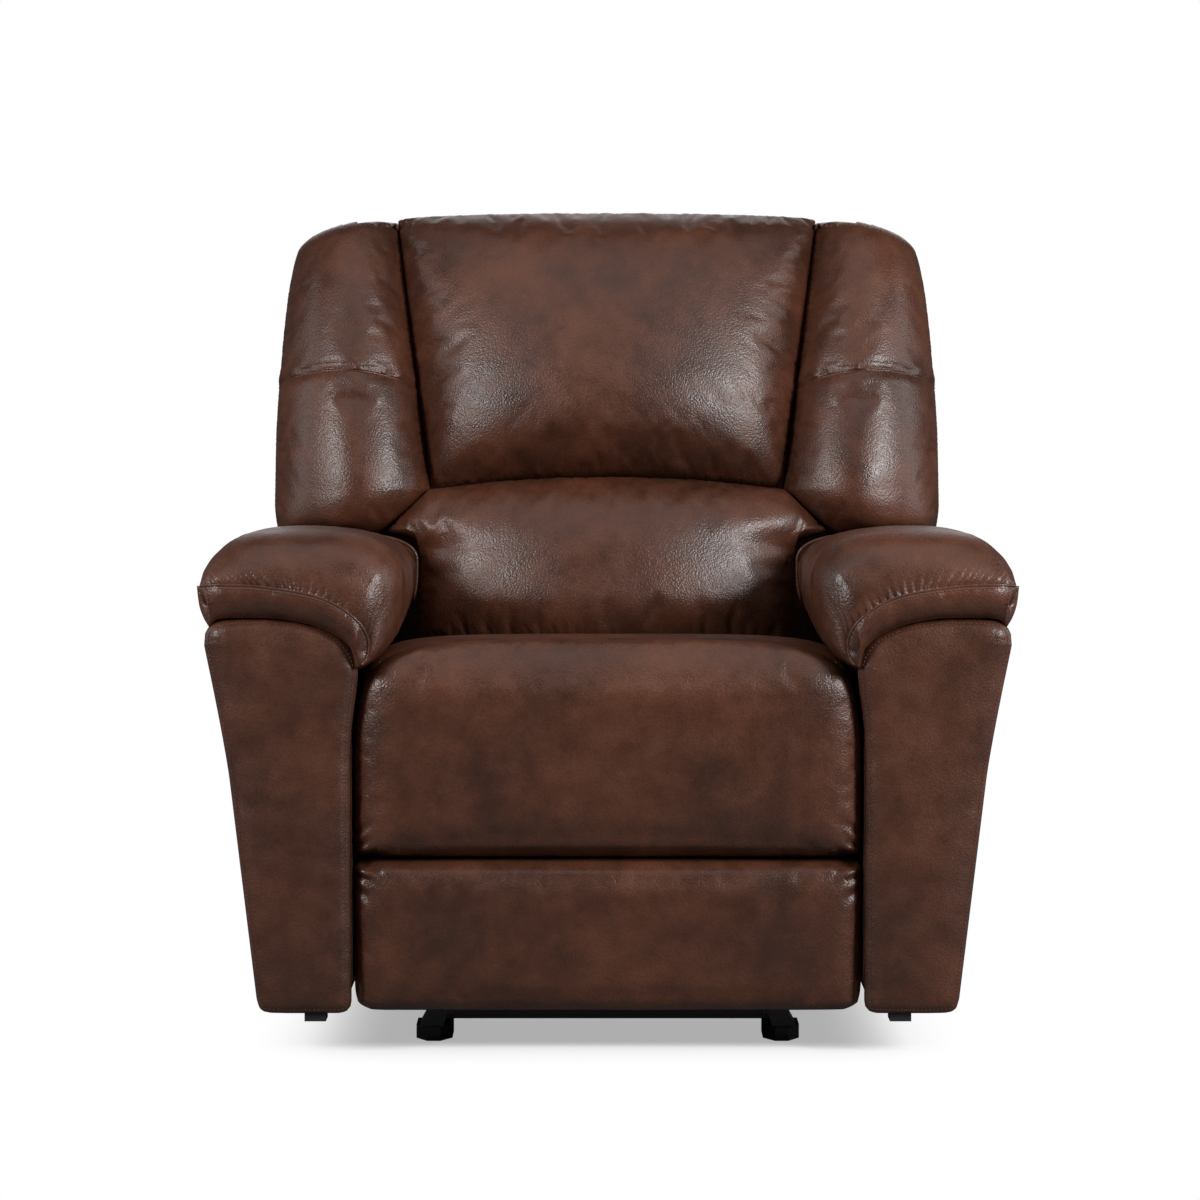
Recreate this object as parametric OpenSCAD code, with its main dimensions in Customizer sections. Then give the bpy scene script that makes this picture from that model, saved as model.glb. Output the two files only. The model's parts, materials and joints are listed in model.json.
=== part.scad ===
// Power gliding recliner: a padded chair whose seat, back and footrest ride on
// parallel links over a gliding base. Front is -Y, up is +Z, origin on the floor.

/* [Seat] */
// Width of the seat cushion and of the footrest pad
seat_w = 612; // [580:2:640]
// Height of the seat crown at the front
seat_crown_z = 503; // [492:1:506]
// Height of the seat where it meets the lumbar cushion
seat_rear_z = 455; // [440:1:470]

/* [Footrest] */
// Height of the stitched crease above the floor
crease_z = 246; // [226:2:266]
// Height of the lowest edge of the footrest pad
footrest_z = 55; // [52:1:64]
// Thickness of the footrest padding at the crown
footrest_pad_t = 59; // [50:1:60]

/* [Back] */
// Length of the back frame above its hinge
back_len = 782; // [764:2:790]
// Lean of the upright back
back_rake = 17; // [15.5:0.5:18]
// Width across the wings at the top of the arms
wing_w = 928; // [910:2:940]
// Width of the upper back cushion at the top
upper_w = 596; // [580:2:604]
// Width of the lumbar cushion between the arm pads
lumbar_w = 484; // [460:2:486]

/* [Arms] */
// Width of the chair over the arm pads
chair_w = 990; // [970:2:1010]
// Height of the arm pads at the front
arm_h = 635; // [625:1:645]
// Height of the arm body under its pad
arm_body_z = 530; // [522:1:536]
// Width of one arm body at the top
arm_top_w = 170; // [160:1:176]
// Width of one arm body at the bottom
arm_foot_w = 109; // [100:1:120]
// Clearance between the floor and the arms
arm_floor_gap = 57; // [50:1:64]

/* [Mechanism] */
// Length of the links that carry the seat
seat_link_l = 90; // [84:1:96]
// Thickness of the linkage plates
plate_t = 4; // [3:0.2:4.4]
// Radius of the link pins
pin_r = 4; // [3:0.2:4.6]
// Radius of the two torque tubes
torque_r = 9; // [7.5:0.25:9.5]
// Width of the footrest links
link_w = 16; // [13:0.5:18]

/* [Glide base] */
// Length of the four swing links
swing_l = 120; // [110:1:126]
// Half the distance between the two base rails, centre to centre
base_half_w = 205; // [195:1:210]
// Length of the base rails
base_l = 690; // [660:2:710]
// Section of the base rails
base_tube = 25; // [20:1:28]
// Width of one foot
foot_w = 45; // [38:1:50]

/* [Hidden] */
$fn = 32;

// Clearances
run_clear = 0.05;
seat_clear = 0.3;
layer_gap = 0.6;
soft_gap = 5;
over = 1;

// Seat body across the chair
seat_half = seat_w / 2;
arm_in = seat_half + soft_gap;

// Side plates lie in layers from the arm inwards
layer_pitch = plate_t + layer_gap;
function layer(i) = arm_in - plate_t - i * layer_pitch;

// Rear pivot of the back, and the front faces of the seat and of the footrest pad
back_pivot = [195, 262];
seat_front_y = -379;
seat_rear_y = 108;
footrest_back_y = -386;
board_t = 15;

// Seat links: lower pins on the chassis, upper pins on the seat
seat_link_lean = 25;
front_low = [-222, 165];
rear_low = [80, 165];
function seat_pin(low) = [low[0] + seat_link_l * sin(seat_link_lean), low[1] + seat_link_l * cos(seat_link_lean)];
front_tube_at = seat_pin(front_low);
rear_tube_at = seat_pin(rear_low);
low_pin_r = 6;
link_eye_r = 14;

// Footrest linkage in the side plane, closed
main_pin = [-320, 338];
turn_centre = [-455, 480];
upper_eye = [-370, 335];
lower_eye_drop = 60;
crank_arm = [58, -14];
main_mid = main_pin + upper_eye - turn_centre;
main_end = main_mid - [0, lower_eye_drop];
lower_eye = upper_eye - [0, lower_eye_drop];
rear_pin = main_pin + crank_arm;
crank_end = main_mid + crank_arm;
eye_r = 10;
pin_head_r = 6.5;
pin_head_t = 1.2;
pin_collar = 2.5;

// Drive rods
front_lever = [-212, 300];
main_lever = [-338, 319];
rear_lever = [143.8, 243.5];
back_lever = [245.4, 294.2];
rod_w = 12;
rod_eye_r = 8.5;
lever_eye_r = 12;
rod_play = 4.6;
back_rod_play = 1.6;

// Seat frame
frame_gap = 4;
frame_half = layer(5) - frame_gap;
frame_z = 288;
frame_h = 60;
frame_wall = 22;
frame_front_y = -372;
frame_rear_y = 150;
spring_wire = 3.8;
spring_n = 5;
spring_amp = 22;
spring_pitch = 46;
spring_turn_pts = 6;
seat_rail_h = 56;
seat_rail_z = 232;
seat_rail_front_y = -346;
seat_rail_rear_y = 212;
rail_head_z = 351;
rail_head_rear_y = -246;
rail_flange_w = 34;
rail_flange_front_y = -150;
seat_tube_h = 26;
seat_tube_w = 30;
seat_front_tube_y = -180;
seat_rear_tube_y = 90;
tube_wall = 3;

// Chassis
cross_tube = 25;
cross_tube_z = 84;
front_cross_y = -262;
rear_cross_y = 225;
side_rail_top_z = 190;
side_rail_front_y = -290;
side_rail_rear_y = 268;
rail_tab_w = 40;
rail_tab_l = 20;

// Arms
arm_front_y = -475;
arm_panel_t = 20;
arm_rear_y = 285;
arm_side_t = 12;
arm_inner_t = 10;
arm_inner_z = 90;
arm_board_t = 18;
arm_top_board_t = 26;
arm_roll = 36;
arm_roll_power = 4;
arm_foot_out = arm_in + arm_foot_w;
arm_top_out = arm_in + arm_top_w;
arm_edge_r = 22;
arm_pad_in = 250;
arm_pad_front_y = -480;
arm_pad_rear_y = 272;
arm_pad_rear_drop = 34;
arm_pad_low_z = 480;
arm_pad_mid_z = 566;
arm_pad_clear = 0.8;
glide_size = [26, 34, 16];
glide_in = 32;
glide_y = -440;

// Rear cover of the chassis
rear_panel_z = 80;
rear_panel_h = 156;
rear_panel_t = 15;

// Glide
glide_front_y = -170;
glide_rear_y = 130;
glide_top_z = 195;
glide_low_z = glide_top_z - swing_l;
swing_t = 5;
swing_w = 24;
swing_pin_r = 6;
swing_gap = 4;
swing_collar = 3;
bracket_t = 4;
bracket_half = 26;
bracket_top = 20;
carriage_t = 4;
carriage_front_y = -270;
carriage_rear_y = 262;
carriage_flange = 26;
bracket_x = base_half_w + base_tube / 2;
swing_x = bracket_x + bracket_t + swing_gap;
carriage_x = swing_x + swing_t + layer_gap;

// Base
base_z = 34;
base_tube_h = 30;
base_rear_y = 330;
base_front_y = base_rear_y - base_l;
base_bar_z = 22;
base_bar_h = 26;
foot_l = 70;
foot_h = 17;
foot_x = 216;
leg_l = 62;
leg_top_w = 18;
leg_foot_w = 30;
leg_splay = 14;

// Actuator
drive_pin_z = 215;
drive_pin_r = 5;
drive_pin_half = 28;
drive_pin_y = front_low[0] + (drive_pin_z - front_low[1]) * tan(20);
slot_play = 0.9;
crank_t = 5;
crank_x = 21;
crank_w = 22;
block_size = [30, 34, 24];
act_rail_w = 40;
act_rail_h = 20;
act_rail_wall = 3;
act_rail_top_z = 206;
act_rail_front_y = -274;
act_rail_rear_y = 150;
screw_r = 5;
screw_z = 198;
gearbox_l = 62;
gearbox_w = 64;
gearbox_h = 72;
motor_r = 24;
motor_l = 86;

// Back, in its own space: x across, t backwards, s up the frame
back_frame_t = [-14, 40];
upright_x = 212;
upright_w = 24;
back_foot_s = -10;
wing_board_s = 405;
wing_board_t = 15;
wing_board_x = 434;
wing_corner_w = 110;
wing_corner_h = 86;
back_rail_w = 44;
back_bottom_s = 10;
cushion_back_t = -24;
outer_panel_t = 19;
outer_panel_foot_s = -5;
lower_panel_gap = 3;
bracket_arm_w = 30;
bracket_s = 190;

// Cushion thicknesses and places
upper_foot_s = 412;
upper_t = 152;
lumbar_foot_gap = 8;
lumbar_t = 168;
wing_in_gap = 1;
wing_t = 150;
wing_foot_z = 604;
back_top_over = 23;

// Control panel on the outer face of the left arm
control_y = -236;
control_z = 440;
bezel = [82, 46, 2.5];
control_box = [66, 32, 13];
button_r = 9;
button_pitch = 34;
button_l = 9;
button_out = 3;
button_clear = 0.2;
button_bore = 10.5;

// Power inlet in the rear cover
inlet_x = 150;
inlet_z = 118;
inlet_r = 11;
inlet_bore = 3;
inlet_l = 24;

// Colours
leather = [0.30, 0.13, 0.09];
steel = [0.16, 0.16, 0.17];
zinc = [0.62, 0.63, 0.65];
wood = [0.72, 0.58, 0.40];
plastic = [0.08, 0.08, 0.09];
lining = [0.12, 0.12, 0.12];

// Shapes that repeat

// A plate in the side plane; its outline is drawn as depth and height
module side_slab(x, t) {
    translate([x, 0, 0]) rotate([90, 0, 90]) linear_extrude(t) children();
}
module side_plate(x, t, outline) { side_slab(x, t) polygon(outline); }

// A round bar across the chair from x0 to x1
module bar_x(at, r, x0, x1) {
    translate([x0, at[0], at[1]]) rotate([0, 90, 0]) cylinder(r = r, h = x1 - x0);
}

// Outline of a flat link through a row of pins, with an eye at each
module link_outline(pins, w, eye) {
    for (p = pins) translate(p) circle(eye);
    for (i = [1:len(pins) - 1]) let (a = pins[i - 1], d = pins[i] - a)
        translate(a) rotate(atan2(d[1], d[0])) translate([0, -w / 2]) square([norm(d), w]);
}

// The link itself, with a bore radius for each pin
module flat_link(x, t, pins, bores, w, eye) {
    side_slab(x, t) difference() {
        link_outline(pins, w, eye);
        for (i = [0:len(pins) - 1]) if (bores[i] > 0) translate(pins[i]) circle(bores[i]);
    }
}

// A pin fixed in one layer that reaches inwards to another and is headed there
module pin(at, r, from, to, head = true) {
    x0 = layer(to);
    bar_x(at, r, head ? x0 - seat_clear - pin_head_t / 2 : x0, layer(from) + over);
    if (head) bar_x(at, r + pin_head_r - pin_r, x0 - seat_clear - pin_head_t, x0 - seat_clear);
    if (to - from > 1)
        bar_x(at, r + pin_collar, x0 + plate_t + layer_gap / 2, layer(from) + over);
}

module both_sides() {
    children();
    mirror([1, 0, 0]) children();
}

module square_tube(size, wall, along) {
    difference() {
        translate(size[0]) cube(size[1]);
        translate(size[0] + [for (k = [0:2]) k == along ? -over : wall])
            cube(size[1] - [for (k = [0:2]) k == along ? -2 * over : 2 * wall]);
    }
}

// Closed soft form through a row of rings
function total(v, i = 0) = i < len(v) ? v[i] + total(v, i + 1) : 0;
function centre(ring) = [for (k = [0:2]) total([for (p = ring) p[k]]) / len(ring)];
module loft(rings) {
    n = len(rings[0]);
    m = len(rings);
    points = concat([for (r = rings) each r], [centre(rings[0]), centre(rings[m - 1])]);
    sides = [for (j = [0:m - 2], i = [0:n - 1], half = [0:1])
        let (a = j * n + i, b = j * n + (i + 1) % n)
        half == 0 ? [a, b + n, b] : [a, a + n, b + n]];
    foot = [for (i = [0:n - 1]) [m * n, i, (i + 1) % n]];
    head = [for (i = [0:n - 1]) [m * n + 1, (m - 1) * n + (i + 1) % n, (m - 1) * n + i]];
    polyhedron(points, concat(sides, foot, head));
}
ring_points = 32;
function power_cos(a, e) = sign(cos(a)) * pow(abs(cos(a)), 2 / e);
function power_sin(a, e) = sign(sin(a)) * pow(abs(sin(a)), 2 / e);
// Rounded section between two bounds on each axis
function section(u0, u1, v0, v1, e) = [for (i = [0:ring_points - 1])
    let (a = 360 * (i + 0.5) / ring_points)
    [(u0 + u1) / 2 + (u1 - u0) / 2 * power_cos(a, e), (v0 + v1) / 2 + (v1 - v0) / 2 * power_sin(a, e)]];
function mix(a, b, share) = a + (b - a) * share;

// Shares of a cushion's length and of its drawn-in section there
end_shares = [[0, 0.80], [0.012, 0.90], [0.04, 0.965], [0.09, 1], [0.2, 1.01], [0.35, 1.015],
    [0.5, 1.02], [0.65, 1.015], [0.8, 1.01], [0.91, 1], [0.96, 0.965], [0.988, 0.90], [1, 0.80]];

// A flat sinuous spring along +Y, as one ribbon of wire
module sinuous(length, amp) {
    n = round(length / spring_pitch) * spring_turn_pts;
    step = length / n;
    function mid(i) = [amp * sin(360 * i / spring_turn_pts), i * step];
    function normal(i) = let (d = mid(i + 0.5) - mid(i - 0.5)) [-d[1], d[0]] / norm(d);
    near = [for (i = [0:n]) mid(i) + normal(i) * spring_wire / 2];
    far = [for (i = [n:-1:0]) mid(i) - normal(i) * spring_wire / 2];
    linear_extrude(spring_wire) polygon(concat(near, far));
}

// Base and glide

module foot_at(y) {
    toe_share = 0.32;
    translate([foot_x, y, 0]) linear_extrude(foot_h) polygon([
        [-foot_w / 2, foot_l / 2], [foot_w / 2, foot_l / 2],
        [foot_w / 2, -foot_l * (0.5 - toe_share)], [foot_w / 2 - foot_w * toe_share, -foot_l / 2],
        [-foot_w / 2 + foot_w * toe_share, -foot_l / 2], [-foot_w / 2, -foot_l * (0.5 - toe_share)]]);
}

foot_rows = [base_front_y + foot_l / 2 - soft_gap, base_rear_y - foot_l / 2 + soft_gap];

module base_feet() {
    color(plastic) both_sides() for (y = foot_rows) foot_at(y);
}

module glide_bracket(y) {
    waist_share = 0.62;
    side_plate(bracket_x, bracket_t, [
        [y - bracket_half, base_z], [y + bracket_half, base_z],
        [y + bracket_half, base_z + base_tube_h],
        [y + bracket_half * waist_share, glide_top_z + bracket_top],
        [y - bracket_half * waist_share, glide_top_z + bracket_top],
        [y - bracket_half, base_z + base_tube_h]]);
    bar_x([y, glide_top_z], swing_pin_r, bracket_x + bracket_t - over, swing_x + swing_t + layer_gap / 2);
    bar_x([y, glide_top_z], swing_pin_r + swing_collar, bracket_x + bracket_t - over, swing_x - layer_gap / 2);
}

module base_frame() {
    color(steel) {
        both_sides() {
            difference() {
                translate([base_half_w - base_tube / 2, base_front_y, base_z])
                    cube([base_tube, base_l, base_tube_h]);
                translate([base_half_w - base_tube / 2 + tube_wall, base_front_y - over, base_z + tube_wall])
                    cube([base_tube - 2 * tube_wall, base_l + 2 * over, base_tube_h - 2 * tube_wall]);
            }
            for (y = [glide_front_y, glide_rear_y]) glide_bracket(y);
            for (y = foot_rows) depth_extrude(y - leg_l / 2, y + leg_l / 2) polygon([
                [base_half_w - leg_top_w / 2, base_bar_z + base_bar_h],
                [base_half_w + leg_top_w / 2 + tube_wall, base_bar_z + base_bar_h],
                [base_half_w + leg_foot_w / 2 + leg_splay, foot_h],
                [base_half_w - leg_foot_w / 2 + leg_splay, foot_h]]);
        }
        for (y = [base_front_y + leg_l / 2, base_rear_y - leg_l / 2 - base_tube])
            translate([-base_half_w, y, base_bar_z])
                cube([2 * base_half_w, base_tube, base_bar_h]);
    }
}

module swing_link(y) {
    color(zinc) flat_link(swing_x, swing_t, [[y, glide_top_z], [y, glide_low_z]],
        [swing_pin_r + run_clear, swing_pin_r + run_clear], swing_w * 0.8, swing_w / 2);
}
module front_swing_link_right() { swing_link(glide_front_y); }
module front_swing_link_left() { mirror([1, 0, 0]) swing_link(glide_front_y); }
module rear_swing_link_right() { swing_link(glide_rear_y); }
module rear_swing_link_left() { mirror([1, 0, 0]) swing_link(glide_rear_y); }

// Chassis

module carriage_right() {
    low_half = 20;
    toe_rise = 22;
    color(steel) {
        side_plate(carriage_x, carriage_t, [
            [carriage_front_y, cross_tube_z], [carriage_front_y, cross_tube_z - toe_rise],
            [glide_front_y - low_half, glide_low_z - swing_w / 2], [glide_rear_y + low_half, glide_low_z - swing_w / 2],
            [carriage_rear_y, cross_tube_z - toe_rise], [carriage_rear_y, cross_tube_z]]);
        translate([carriage_x, carriage_front_y, cross_tube_z - carriage_t])
            cube([carriage_flange, carriage_rear_y - carriage_front_y, carriage_t]);
        for (y = [glide_front_y, glide_rear_y])
            bar_x([y, glide_low_z], swing_pin_r, swing_x - layer_gap / 2, carriage_x + over);
    }
}
module carriage_left() { mirror([1, 0, 0]) carriage_right(); }

module cross_tube_at(y) {
    color(steel) square_tube([[-layer(0), y, cross_tube_z],
        [2 * layer(0), cross_tube, cross_tube]], tube_wall, 0);
}
module front_cross_tube() { cross_tube_at(front_cross_y); }
module rear_cross_tube() { cross_tube_at(rear_cross_y); }

module side_rail_right() {
    nose_share = 0.45;
    color(steel) {
        side_plate(layer(0), plate_t, [
            [side_rail_front_y, cross_tube_z], [side_rail_rear_y, cross_tube_z],
            [side_rail_rear_y, mix(cross_tube_z, side_rail_top_z, 0.6)],
            [rear_low[0] + link_eye_r * 2, side_rail_top_z],
            [front_low[0] - link_eye_r * 2, side_rail_top_z],
            [side_rail_front_y, mix(cross_tube_z, side_rail_top_z, nose_share)]]);
        for (y = [front_cross_y, rear_cross_y])
            translate([layer(0) - rail_tab_w, y, cross_tube_z + cross_tube])
                cube([rail_tab_w + over, rail_tab_l, plate_t]);
        for (p = [front_low, rear_low]) bar_x(p, low_pin_r, layer(1), layer(0) + over);
    }
}
module side_rail_left() { mirror([1, 0, 0]) side_rail_right(); }

// Outer face of the arm at a height, and the top of its body at a distance across
function arm_out(z) = mix(arm_foot_out, arm_top_out, (z - arm_floor_gap) / (arm_body_z - arm_floor_gap));
function arm_top(x) = arm_body_z - arm_roll
    * pow(max(0, 1 - (x - arm_in) / (arm_top_out - arm_in)), arm_roll_power);
arm_steps = 8;

// Outline across the arm between two distances, closed under its rolled top
function arm_outline(x0, z0, x1) = concat([[x0, z0], [arm_out(z0) - x1, z0]],
    [for (i = [arm_steps:-1:0]) let (x = mix(x0, arm_top_out - x1, i / arm_steps))
        [x, arm_top(x)]]);

// Extrudes an outline across the chair from y0 to y1
module depth_extrude(y0, y1) {
    translate([0, y1, 0]) rotate([90, 0, 0]) linear_extrude(y1 - y0) children();
}

module arm_front_panel_right() {
    color(leather) depth_extrude(arm_front_y, arm_front_y + arm_panel_t)
        intersection() {
            polygon(arm_outline(arm_in, arm_floor_gap, 0));
            union() {
                translate([arm_in, 0]) square([arm_top_w - arm_edge_r, arm_body_z]);
                translate([arm_in, 0]) square([arm_top_w, arm_body_z - arm_edge_r]);
                translate([arm_top_out - arm_edge_r, arm_body_z - arm_edge_r]) circle(arm_edge_r);
            }
        }
}
module arm_front_panel_left() { mirror([1, 0, 0]) arm_front_panel_right(); }

arm_core_y = arm_front_y + arm_panel_t;

module arm_side_panel_right(pocket = false) {
    color(leather) difference() {
        depth_extrude(arm_core_y, arm_rear_y) polygon([
            [arm_foot_out - arm_side_t, arm_floor_gap], [arm_foot_out, arm_floor_gap],
            [arm_top_out, arm_body_z], [arm_top_out - arm_side_t, arm_top(arm_top_out - arm_side_t)]]);
        if (pocket) mirror([1, 0, 0]) on_left_arm()
            translate([-control_box[0] / 2 - seat_clear, -control_box[1] / 2 - seat_clear, -2 * arm_side_t])
                cube([control_box[0] + 2 * seat_clear, control_box[1] + 2 * seat_clear, 4 * arm_side_t]);
    }
}
module arm_side_panel_left() { mirror([1, 0, 0]) arm_side_panel_right(pocket = true); }

module arm_inner_panel_right() {
    color(leather) depth_extrude(arm_core_y, arm_rear_y) polygon([
        [arm_in, arm_inner_z], [arm_in + arm_inner_t, arm_inner_z],
        [arm_in + arm_inner_t, arm_top(arm_in + arm_inner_t)], [arm_in, arm_top(arm_in)]]);
}
module arm_inner_panel_left() { mirror([1, 0, 0]) arm_inner_panel_right(); }

// Plywood box of the arm: inner board, front and rear boards and a top board
module arm_frame_right() {
    x0 = arm_in + arm_inner_t;
    color(wood) {
        depth_extrude(arm_core_y, arm_rear_y) polygon([
            [x0, arm_floor_gap], [x0 + arm_board_t, arm_floor_gap],
            [x0 + arm_board_t, arm_top(x0 + arm_board_t)], [x0, arm_top(x0)]]);
        for (y = [arm_core_y, arm_rear_y - arm_board_t])
            depth_extrude(y, y + arm_board_t) polygon(arm_outline(x0, arm_floor_gap, arm_side_t));
        depth_extrude(arm_core_y, arm_rear_y) polygon(concat(
            [[x0, arm_body_z - arm_roll - arm_top_board_t],
             [arm_out(arm_body_z - arm_roll - arm_top_board_t) - arm_side_t,
              arm_body_z - arm_roll - arm_top_board_t]],
            [for (i = [arm_steps:-1:0]) let (x = mix(x0, arm_top_out - arm_side_t, i / arm_steps))
                [x, arm_top(x)]]));
    }
}
module arm_frame_left() { mirror([1, 0, 0]) arm_frame_right(); }

// Shares of the arm pad's length, of its section there and of its drop towards the rear
arm_pad_shares = [[0, 0.72, 0], [0.008, 0.86, 0], [0.03, 0.95, 0], [0.07, 1, 0], [0.16, 1, 0.03],
    [0.34, 0.985, 0.16], [0.55, 0.97, 0.42], [0.75, 0.95, 0.72], [0.9, 0.93, 0.92],
    [0.965, 0.88, 1], [0.99, 0.78, 1], [1, 0.62, 1]];
arm_pad_round = 2.7;
arm_pad_blunt = 2.2;
function arm_pad_ring(row) = let (
        y = mix(arm_pad_front_y, arm_pad_rear_y, row[0]),
        drop = arm_pad_rear_drop * row[2],
        xm = (arm_pad_in + chair_w / 2) / 2,
        half = (chair_w / 2 - arm_pad_in) / 2 * row[1],
        up = (arm_h - arm_pad_mid_z) * row[1] - drop,
        low = arm_pad_mid_z - arm_pad_low_z)
    [for (i = [0:ring_points - 1]) let (
        a = 360 * (i + 0.5) / ring_points,
        e = sin(a) > 0 ? arm_pad_round : arm_pad_blunt,
        x = xm + half * cos(a),
        rise = sign(sin(a)) * pow(1 - pow(abs(cos(a)), e), 1 / e),
        z = arm_pad_mid_z + (sin(a) > 0 ? up : low) * rise,
        rest_z = arm_top(min(max(x, arm_in), arm_top_out)) + arm_pad_clear)
        [x, y, sin(a) > 0 ? z : x > arm_in ? rest_z : max(z, rest_z)]];
module arm_pad_right() { color(leather) loft([for (row = arm_pad_shares) arm_pad_ring(row)]); }
module arm_pad_left() { mirror([1, 0, 0]) arm_pad_right(); }

module rear_panel() {
    color(lining) difference() {
        translate([-arm_in, arm_rear_y - rear_panel_t, rear_panel_z])
            cube([2 * arm_in, rear_panel_t, rear_panel_h]);
        translate([inlet_x, arm_rear_y + over, inlet_z]) rotate([90, 0, 0])
            cylinder(r = inlet_r - inlet_bore, h = rear_panel_t + 2 * over);
    }
}

module arm_glides() {
    color(plastic) both_sides()
        translate([arm_in + glide_in, glide_y - glide_size[1] / 2,
            arm_floor_gap - glide_size[2]]) cube(glide_size);
}

module power_inlet() {
    color(plastic) translate([inlet_x, arm_rear_y, inlet_z]) rotate([90, 0, 0]) difference() {
        union() {
            cylinder(r = inlet_r - inlet_bore - run_clear, h = inlet_l);
            translate([0, 0, -tube_wall]) cylinder(r = inlet_r, h = tube_wall);
        }
        translate([0, 0, -tube_wall - over]) cylinder(r = inlet_bore, h = inlet_l * 0.6);
    }
}

// Controls

module on_left_arm() {
    lean = atan2(arm_top_out - arm_foot_out, arm_body_z - arm_floor_gap);
    translate([-arm_out(control_z), control_y, control_z]) rotate([0, -90 - lean, 0])
        rotate([0, 0, 90]) children();
}

module control_panel() {
    color(plastic) on_left_arm() difference() {
        union() {
            translate([-bezel[0] / 2, -bezel[1] / 2, seat_clear]) cube(bezel);
            translate([-control_box[0] / 2, -control_box[1] / 2, -control_box[2]])
                cube([control_box[0], control_box[1], control_box[2] + bezel[2]]);
        }
        for (side = [-1, 1]) translate([side * button_pitch / 2, 0, bezel[2] + seat_clear - button_bore])
            cylinder(r = button_r + button_clear, h = button_bore + over);
    }
}

module button_at(side) {
    on_left_arm() translate([side * button_pitch / 2, 0, bezel[2] + seat_clear + button_out - button_l])
        cylinder(r = button_r, h = button_l);
}
module recline_button() { color(zinc) button_at(-1); }
module return_button() { color(zinc) button_at(1); }

// Actuator

module actuator_rail() {
    lug_w = 34;
    color(steel) {
        translate([-act_rail_w / 2, act_rail_front_y, act_rail_top_z - act_rail_h])
            cube([act_rail_w, act_rail_rear_y - act_rail_front_y, act_rail_wall]);
        both_sides() translate([act_rail_w / 2 - act_rail_wall, act_rail_front_y, act_rail_top_z - act_rail_h])
            cube([act_rail_wall, act_rail_rear_y - act_rail_front_y, act_rail_h]);
        translate([-act_rail_w / 2, act_rail_front_y, act_rail_top_z - act_rail_h])
            cube([act_rail_w, act_rail_wall, act_rail_h]);
        translate([-lug_w / 2, front_cross_y, cross_tube_z + cross_tube])
            cube([lug_w, cross_tube, act_rail_top_z - act_rail_h - cross_tube_z - cross_tube + over]);
    }
}

module lead_screw() {
    color(zinc) translate([0, act_rail_front_y + act_rail_wall, screw_z]) rotate([-90, 0, 0])
        cylinder(r = screw_r, h = act_rail_rear_y - act_rail_front_y - act_rail_wall);
}

module actuator_housing() {
    foot_t = 6;
    color(plastic) {
        translate([-gearbox_w / 2, act_rail_rear_y, act_rail_top_z - gearbox_h + act_rail_h / 2])
            cube([gearbox_w, gearbox_l, gearbox_h]);
        bar_x([act_rail_rear_y + gearbox_l / 2, act_rail_top_z - gearbox_h / 2], motor_r,
            gearbox_w / 2 - over, gearbox_w / 2 + motor_l);
    }
    color(steel) {
        translate([-gearbox_w / 4, act_rail_rear_y + gearbox_l - over, cross_tube_z + cross_tube])
            cube([gearbox_w / 2, rear_cross_y + cross_tube - act_rail_rear_y - gearbox_l + over, foot_t]);
        translate([-gearbox_w / 4, act_rail_rear_y + gearbox_l - foot_t, cross_tube_z + cross_tube])
            cube([gearbox_w / 2, foot_t, act_rail_top_z - gearbox_h + act_rail_h / 2 - cross_tube_z - cross_tube + over]);
    }
}

module drive_block() {
    color(zinc) difference() {
        union() {
            translate([-block_size[0] / 2, drive_pin_y - block_size[1] / 2, drive_pin_z - block_size[2] + drive_pin_r * 2])
                cube(block_size);
            bar_x([drive_pin_y, drive_pin_z], drive_pin_r, -drive_pin_half, drive_pin_half);
        }
        translate([0, drive_pin_y - block_size[1], screw_z]) rotate([-90, 0, 0])
            cylinder(r = screw_r + run_clear, h = 2 * block_size[1]);
    }
}

// Torque tubes with the seat links and levers on them

module seat_link_pair(low, top) {
    flat_link(layer(1), plate_t, [top, low], [0, low_pin_r + run_clear], link_w * 1.25, link_eye_r);
}

// Crank plates with slots that the drive block's pin pushes
module crank() {
    dir = [drive_pin_y, drive_pin_z] - front_tube_at;
    reach = norm(dir);
    slot_half = 4;
    half = drive_pin_r + slot_play;
    both_sides() side_slab(crank_x, crank_t)
        translate(front_tube_at) rotate(atan2(dir[1], dir[0])) difference() {
            union() {
                circle(torque_r + crank_t);
                translate([0, -crank_w / 2])
                    square([reach + crank_w / 2 + slot_half, crank_w]);
            }
            for (s = [-slot_half, slot_half]) translate([reach + s, 0]) circle(half);
            translate([reach - slot_half, -half]) square([2 * slot_half, 2 * half]);
        }
}

module front_torque_tube() {
    color(steel) {
        bar_x(front_tube_at, torque_r, -layer(1) - plate_t, layer(1) + plate_t);
        both_sides() {
            seat_link_pair(front_low, front_tube_at);
            flat_link(layer(3), plate_t, [front_tube_at, front_lever], [0, 0], rod_w, lever_eye_r);
            pin(front_lever, pin_r, 3, 4, head = false);
        }
        crank();
    }
}

module rear_torque_tube() {
    color(steel) {
        bar_x(rear_tube_at, torque_r, -layer(1) - plate_t, layer(1) + plate_t);
        both_sides() {
            seat_link_pair(rear_low, rear_tube_at);
            flat_link(layer(3), plate_t, [rear_tube_at, rear_lever], [0, 0], rod_w, lever_eye_r);
            pin(rear_lever, pin_r, 3, 4, head = false);
        }
    }
}

// Seat

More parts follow.
